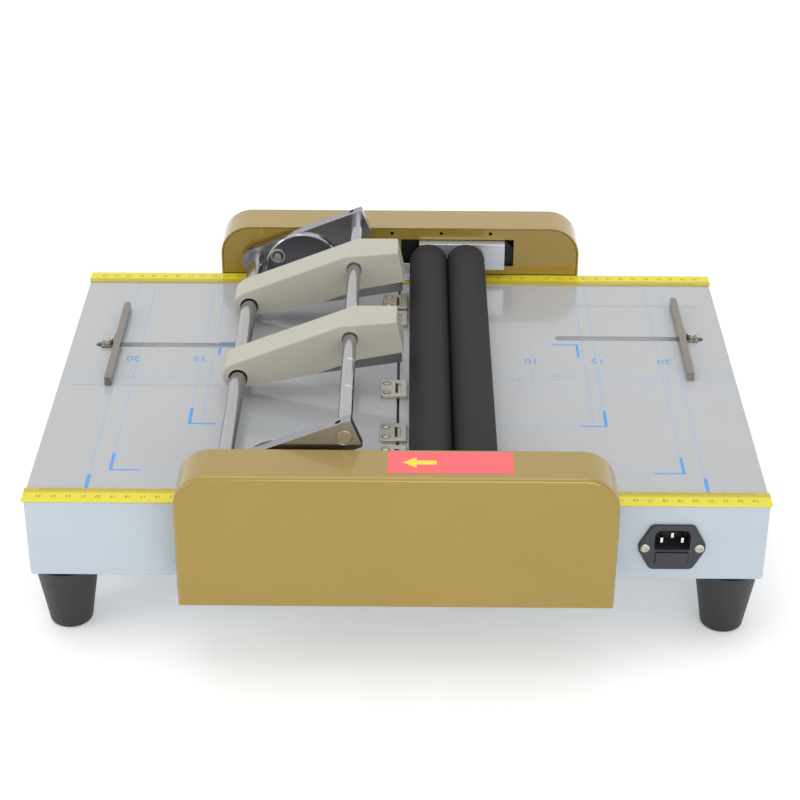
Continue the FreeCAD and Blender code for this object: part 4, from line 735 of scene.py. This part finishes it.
def build_cover(index):
    """Folded cover of a stapling head: open underneath, with a slanting bend and holes for both rods."""
    node = "head_%d_cover" % index
    low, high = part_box(node)
    middle = (low.y + high.y) / 2
    px, pz = pivot.x, pivot.z
    hx = head_rod.x
    wall = 1.2 * mm
    fold = 1.1 * mm
    nose, crown, back = -1.4 * mm, pz + 46.9 * mm, pz + 43.2 * mm
    outside = [(px - 5.0 * mm, pz - 9.45 * mm), (px + 55 * mm, pz + 3.6 * mm), (hx + 6.2 * mm, pz + 16 * mm),
               (4 * mm, pz + 22.4 * mm), (nose, crown), (hx - 6.2 * mm, back),
               (px - 6.6 * mm, pz + 10.6 * mm), (px - 12.4 * mm, pz + 4 * mm), (px - 9.6 * mm, pz - 5.2 * mm)]
    inside = [(px - 5.5 * mm, pz - 16 * mm), (px + 56 * mm, pz - 3.5 * mm), (hx + 8 * mm, pz + 9 * mm),
              (4 * mm - wall, pz + 14 * mm), (nose - wall, crown - wall), (hx - 6 * mm, back - wall),
              (px - 6 * mm, pz + 10.6 * mm - wall), (px - 12.4 * mm + wall, pz + 3.6 * mm),
              (px - 9.6 * mm + wall, pz - 5.2 * mm)]
    cover = outline_prism(outside, low.y, high.y, ((4, 1.2 * mm), (6, 4 * mm), (7, 4 * mm), (8, 3 * mm)))

    # The bend over the head rod runs slantwise, so its two ends shift along the slope behind it.
    near_shift, far_shift = -0.5 * mm, 9.1 * mm
    bend_x, bend_z = outside[5]
    slope = (outside[5][1] - outside[6][1]) / (outside[5][0] - outside[6][0])
    for vert in cover.verts:
        if math.hypot(vert.co.x - bend_x, vert.co.z - bend_z) < touching:
            shift = near_shift if vert.co.y < middle else far_shift
            vert.co += Vector((shift, 0, slope * shift))

    def side_fold(edge):
        """Edge between the top and a side: above the skirt's rising line and behind the nose."""
        half_way = (edge.verts[0].co + edge.verts[1].co) / 2
        on_side = lies_at(edge, low.y) or lies_at(edge, high.y)
        return on_side and half_way.z > pz - 5.3 * mm + 0.42 * (half_way.x - px) and half_way.x < 3.0 * mm

    def slanting_bend(edge):
        across = abs(edge.verts[0].co.y - edge.verts[1].co.y) > fold
        return across and all(bend_x - mm < vert.co.x < bend_x + 10 * mm and vert.co.z > bend_z - mm
                              for vert in edge.verts)

    rounded(cover, lambda edge: side_fold(edge) or slanting_bend(edge), fold, 4)
    hollow = outline_prism(inside, low.y + wall, high.y - wall, ((6, 3 * mm), (7, 3 * mm)))
    holes = peg((px, middle, pz), 7 * mm, 40 * mm, sides=64)
    cylinder(holes, (hx, middle, head_rod.z), 6 * mm, 40 * mm, sides=64)
    finish(carve(carve(cover, hollow), holes), "cover_head_%d" % index, beige_enamel, "head_%d" % index,
           (node,), 0.2 * mm)


# Screws, feet and inlet

foot_radius = 22.5 * mm


def foot_places(high):
    """Centres of the four feet, from the upper corner of their box."""
    return [(sx * (high.x - foot_radius), sy * (high.y - foot_radius)) for sx in (-1, 1) for sy in (-1, 1)]


def cross_screw(centre, radius, height, turn=turns["Z"]):
    """Pan-head screw with a cross recess. Its head points up unless it is turned."""
    arm = 0.62 * radius
    slim = 0.17 * radius
    head = lathe([(0, 0), (0, radius), (0.55 * height, radius), (height, 0.72 * radius), (height, 0)],
                 (0, 0, 0), "Z", 40)
    for x, y in ((arm, slim), (slim, arm)):
        head = carve(head, slab((-x, -y, 0.3 * height), (x, y, 2 * height)))
    head.transform(Matrix.Translation(centre) @ turn)
    return head


def build_screws():
    """Cross-head screws on the anvils and beside the inlet, the feet's nuts, and black films of painted shade
    round the anvil screws and in the anvils' pockets.
    """
    anvil_x, anvil_places = -8.3, (121.0, 93.0, -18.5, -81.4, -111.5)
    screw_offset = 6.5
    shade_ring_radius, shade_ring_film = 2.9 * mm, 0.08 * mm
    pocket_shade_half, pocket_shade_height, pocket_depth = 7, 0.9 * mm, 1.5 * mm
    inlet_screw_x = 18.4 * mm
    nut_middle = 3.5 * mm
    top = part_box("anvils")[1].z
    heads = []
    shade_films = bmesh.new()
    floor = top - pocket_depth
    for y in anvil_places:
        for sign in (-1, 1):
            place = Vector((anvil_x * mm, (y + sign * screw_offset) * mm, top))
            heads.append(cross_screw(place, 2.4 * mm, 0.5 * mm))
            # A black ring under each anvil screw's head is painted shade round the head.
            cylinder(shade_films, place + Vector((0, 0, shade_ring_film / 2)), shade_ring_radius, shade_ring_film, "Z", 32)
        # A black block on each pocket's floor is painted shade in the pocket.
        block(shade_films, (-1.8 * mm, (y - pocket_shade_half) * mm, floor),
              (-0.1 * mm, (y + pocket_shade_half) * mm, floor + pocket_shade_height))
    finish(shade_films, "anvil_painted_shade", black_oxide, "frame")
    low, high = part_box("power_inlet")
    centre = (low + high) / 2
    to_rear = Matrix.Rotation(math.pi / 2, 4, "X")
    for sign in (-1, 1):
        place = (centre.x + sign * inlet_screw_x, low.y, centre.z)
        heads.append(cross_screw(place, 3.2 * mm, 1.4 * mm, to_rear))
    foot_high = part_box("feet")[1]
    for x, y in foot_places(foot_high):
        heads.append(peg((x, y, foot_high.z + nut_middle), 5 * mm, 4 * mm, "Z", 6))
    finish(merged(heads), "screw_heads", nickel_plate, "frame", ("screws",), 0.06 * mm)


def build_feet():
    """Moulded feet: wide at the top, with a rounded lower edge and a narrow collar under the base."""
    lower_radius = 15 * mm
    edge_radius = 3 * mm
    collar_radius = 18 * mm
    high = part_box("feet")[1]
    top = high.z
    shoulder = top - 2 * mm
    arc = [(edge_radius - edge_radius * math.cos(math.radians(angle)),
            lower_radius - edge_radius + edge_radius * math.sin(math.radians(angle)))
           for angle in range(0, 91, 15)]
    profile = [(0, 0), *arc, (top - 3.2 * mm, foot_radius - 0.2 * mm),
               (top - 2.4 * mm, foot_radius - 0.4 * mm), (shoulder, foot_radius - 1.4 * mm),
               (shoulder, collar_radius), (top, collar_radius), (top, 0)]
    feet = [lathe(profile, (x, y, 0), "Z", 72) for x, y in foot_places(high)]
    finish(merged(feet), "rubber_feet", moulded_rubber, "frame", ("feet",))


def build_inlet():
    """Mains inlet: six-sided flange with rounded corners, socket well and drawer opening."""
    low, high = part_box("power_inlet")
    cx = (low.x + high.x) / 2
    cz = (low.z + high.z) / 2
    wall = -table_side
    tip = (high.x - low.x) / 2 + 1.2 * mm
    half = (high.z - low.z) / 2
    flat = 14.45 * mm
    outline = [(cx - tip, cz), (cx - flat, cz - half), (cx + flat, cz - half), (cx + tip, cz),
               (cx + flat, cz + half), (cx - flat, cz + half)]
    corners = [(point, (4 if point in (0, 3) else 2.5) * mm) for point in range(6)]
    flange = outline_prism(outline, low.y, wall, corners)
    rounded(flange, lambda edge: lies_at(edge, low.y), 0.8 * mm, 4)
    body = slab((cx - 13.75 * mm, wall, cz - 15.5 * mm), (cx + 13.75 * mm, high.y, cz + 15.5 * mm))
    well_top = cz + 14 * mm
    well_floor = well_top - 15.5 * mm
    well = rectangle(cx - 12 * mm, well_floor, cx + 12 * mm, well_top)
    well_corners = ((0, 1.5 * mm), (1, 1.5 * mm), (2, 5 * mm), (3, 5 * mm))
    drawer = rectangle(cx - 11.3 * mm, well_floor - 11.3 * mm, cx + 11.3 * mm, well_floor - 1.7 * mm)
    for points, depth, rounds in ((well, 16 * mm, well_corners), (drawer, 20.3 * mm, ())):
        flange, body = (carve(part, outline_prism(points, low.y - mm, low.y + depth, rounds))
                        for part in (flange, body))
    finish(merged([flange, body]), "inlet_housing", moulded_black, "frame", ("power_inlet",))


# Nodes that keep their own form

print_room = 0.06 * mm


def build_dressed():
    """Machined and folded pieces that keep their construction's form with softened edges."""
    for node, rear_end in (("left_stop", -14 * mm), ("right_stop", -0.5 * mm)):
        stop = dressed(node, ground_stainless, 0.35 * mm, rear_end)
        for vert in stop.data.vertices:
            if abs(vert.co.z - table_top) < print_room / 2:
                vert.co.z += print_room
    for nodes, material, rounding in (
            (("left_stop_nut", "right_stop_nut"), nickel_plate, 0.2 * mm),
            (("head_1_magazine", "head_2_magazine"), machined_steel, 0.15 * mm),
            (("bearing_blocks", "roller_end_brackets", "head_1_chassis", "head_2_chassis"), zinc_plate,
             0.3 * mm),
            (("anvils",), nickel_plate, 0.3 * mm),
            (("power_rocker", "switch_holders", "fuse_drawer"), moulded_black, 0.3 * mm),
            (("start_button",), moulded_green, 0.3 * mm),
            (("inlet_pins",), plated_contact, 0.3 * mm),
            (("lever_grub_screws",), black_oxide, 0.1 * mm)):
        for node in nodes:
            dressed(node, material, rounding)


def build_plain():
    """Table sheets and hidden pieces that keep their mesh."""
    finishes = {
        table_enamel: ("table_left", "table_right"),
        # The rails under the slots are made white as painted light in the shaded slots.
        slot_rail_painted_light: ("stop_rails",),
        zinc_plate: ("staple_motor_bracket", "knife_guides", "fold_knife"),
        # Side frames and anvil rail are made black as painted shade: the dark inside behind the roller window
        # and the dark seam between the table halves.
        black_oxide: ("side_frames", "anvil_rail"),
        polished_steel: ("roller_left_shaft", "roller_right_shaft", "roller_bearings", "cam_shaft"),
        machined_steel: ("sector_gear", "staple_motor_pinion", "roller_motor_pinion"),
        nylon: ("roller_left_gear", "roller_right_gear", "idler_gear", "head_1_pusher", "head_2_pusher"),
        sintered_bronze: ("pivot_bushes",),
        motor_paint: ("roller_motor", "staple_motor", "knife_motor"),
        solder_mask: ("control_board",),
    }
    for material, nodes in finishes.items():
        for node in nodes:
            painted(node, material)


# Camera, light and floor

def build_camera():
    """Camera at the photograph's viewing angle."""
    focal = 1997.89         # pixels
    frame_width = 800
    place = Vector((0.00576, -1.29288, 0.8355))
    pitch, yaw, roll = (math.radians(angle) for angle in (29.850, -0.199, -0.307))
    ahead = Vector((math.sin(yaw) * math.cos(pitch), math.cos(yaw) * math.cos(pitch), -math.sin(pitch)))
    level = Vector((math.cos(yaw), -math.sin(yaw), 0))
    down = ahead.cross(level)
    right = math.cos(roll) * level + math.sin(roll) * down
    up = math.sin(roll) * level - math.cos(roll) * down
    turn = Matrix((right, up, -ahead)).transposed().to_4x4()
    data = bpy.data.cameras.new("camera")
    data.sensor_width = 36
    data.lens = focal / frame_width * data.sensor_width
    data.clip_start = 0.01
    camera = bpy.data.objects.new("camera", data)
    camera.matrix_world = Matrix.Translation(place) @ turn
    scene.collection.objects.link(camera)
    scene.camera = camera


def lamp(name, place, size, power):
    """Soft rectangular lamp that faces the machine's middle."""
    data = bpy.data.lights.new(name, "AREA")
    data.shape = "RECTANGLE"
    data.size, data.size_y = size
    data.energy = power
    thing = bpy.data.objects.new(name, data)
    aim = Vector((0, 0, 0.1)) - Vector(place)
    thing.matrix_world = Matrix.Translation(place) @ aim.to_track_quat("-Z", "Y").to_matrix().to_4x4()
    scene.collection.objects.link(thing)


def seen_directly(tree):
    """1 on camera, glossy and transmission rays, which see the white room as it is."""
    path = add(tree, "LightPath").outputs
    seen = path["Is Camera Ray"]
    for ray in ("Is Glossy Ray", "Is Transmission Ray"):
        seen = add(tree, "Math", {0: seen, 1: path[ray]}, operation="MAXIMUM").outputs[0]
    return seen


def build_light():
    """White room with a large soft lamp above, one at the left and one in front."""
    room_light = 0.66
    world = bpy.data.worlds.new("room")
    scene.world = world
    world.use_nodes = True
    tree = world.node_tree
    tree.nodes.clear()
    strength = add(tree, "MapRange", {0: seen_directly(tree), 3: room_light, 4: 1.0}).outputs[0]
    glow = add(tree, "Background", {"Color": (1, 1, 1, 1), "Strength": strength})
    add(tree, "OutputWorld", {"Surface": glow.outputs[0]})
    lamp("lamp_above", (-0.2, 0.3, 2.2), (2.2, 1.8), 15)
    lamp("lamp_left", (-2.0, -0.9, 1.2), (0.8, 1.2), 7)
    lamp("lamp_front", (0.5, -2.3, 0.9), (1.6, 0.9), 15)


def build_floor():
    """Plain white floor that glows a little where it is seen, so that it joins the white room."""
    floor_glow = 0.22
    bm = bmesh.new()
    bmesh.ops.create_grid(bm, x_segments=1, y_segments=1, size=4.0)
    floor = as_object(bm, "floor")
    material = surface("matt_white_floor", ("#FCFCFC", "#FFFFFF"), 5.0, 0.9)
    tree = material.node_tree
    glow = add(tree, "MapRange", {0: seen_directly(tree), 3: 0.0, 4: floor_glow}).outputs[0]
    skin = shader_of(material)
    skin.inputs["Emission Color"].default_value = linear("#FFFFFF")
    tree.links.new(glow, skin.inputs["Emission Strength"])
    floor.data.materials.append(material)


build_camera()
build_light()
build_floor()
build_base()
build_tapes()
build_print()
build_housing(-1, "housing_rear_shell", "shell_rear")
build_housing(1, "housing_operator_shell", "shell_operator")
build_panels()
build_label()
build_rollers()
build_levers()
build_rods()
build_discs()
build_bolts()
build_cover(1)
build_cover(2)
build_screws()
build_feet()
build_inlet()
build_dressed()
build_plain()

scene.view_settings.view_transform = "Standard"
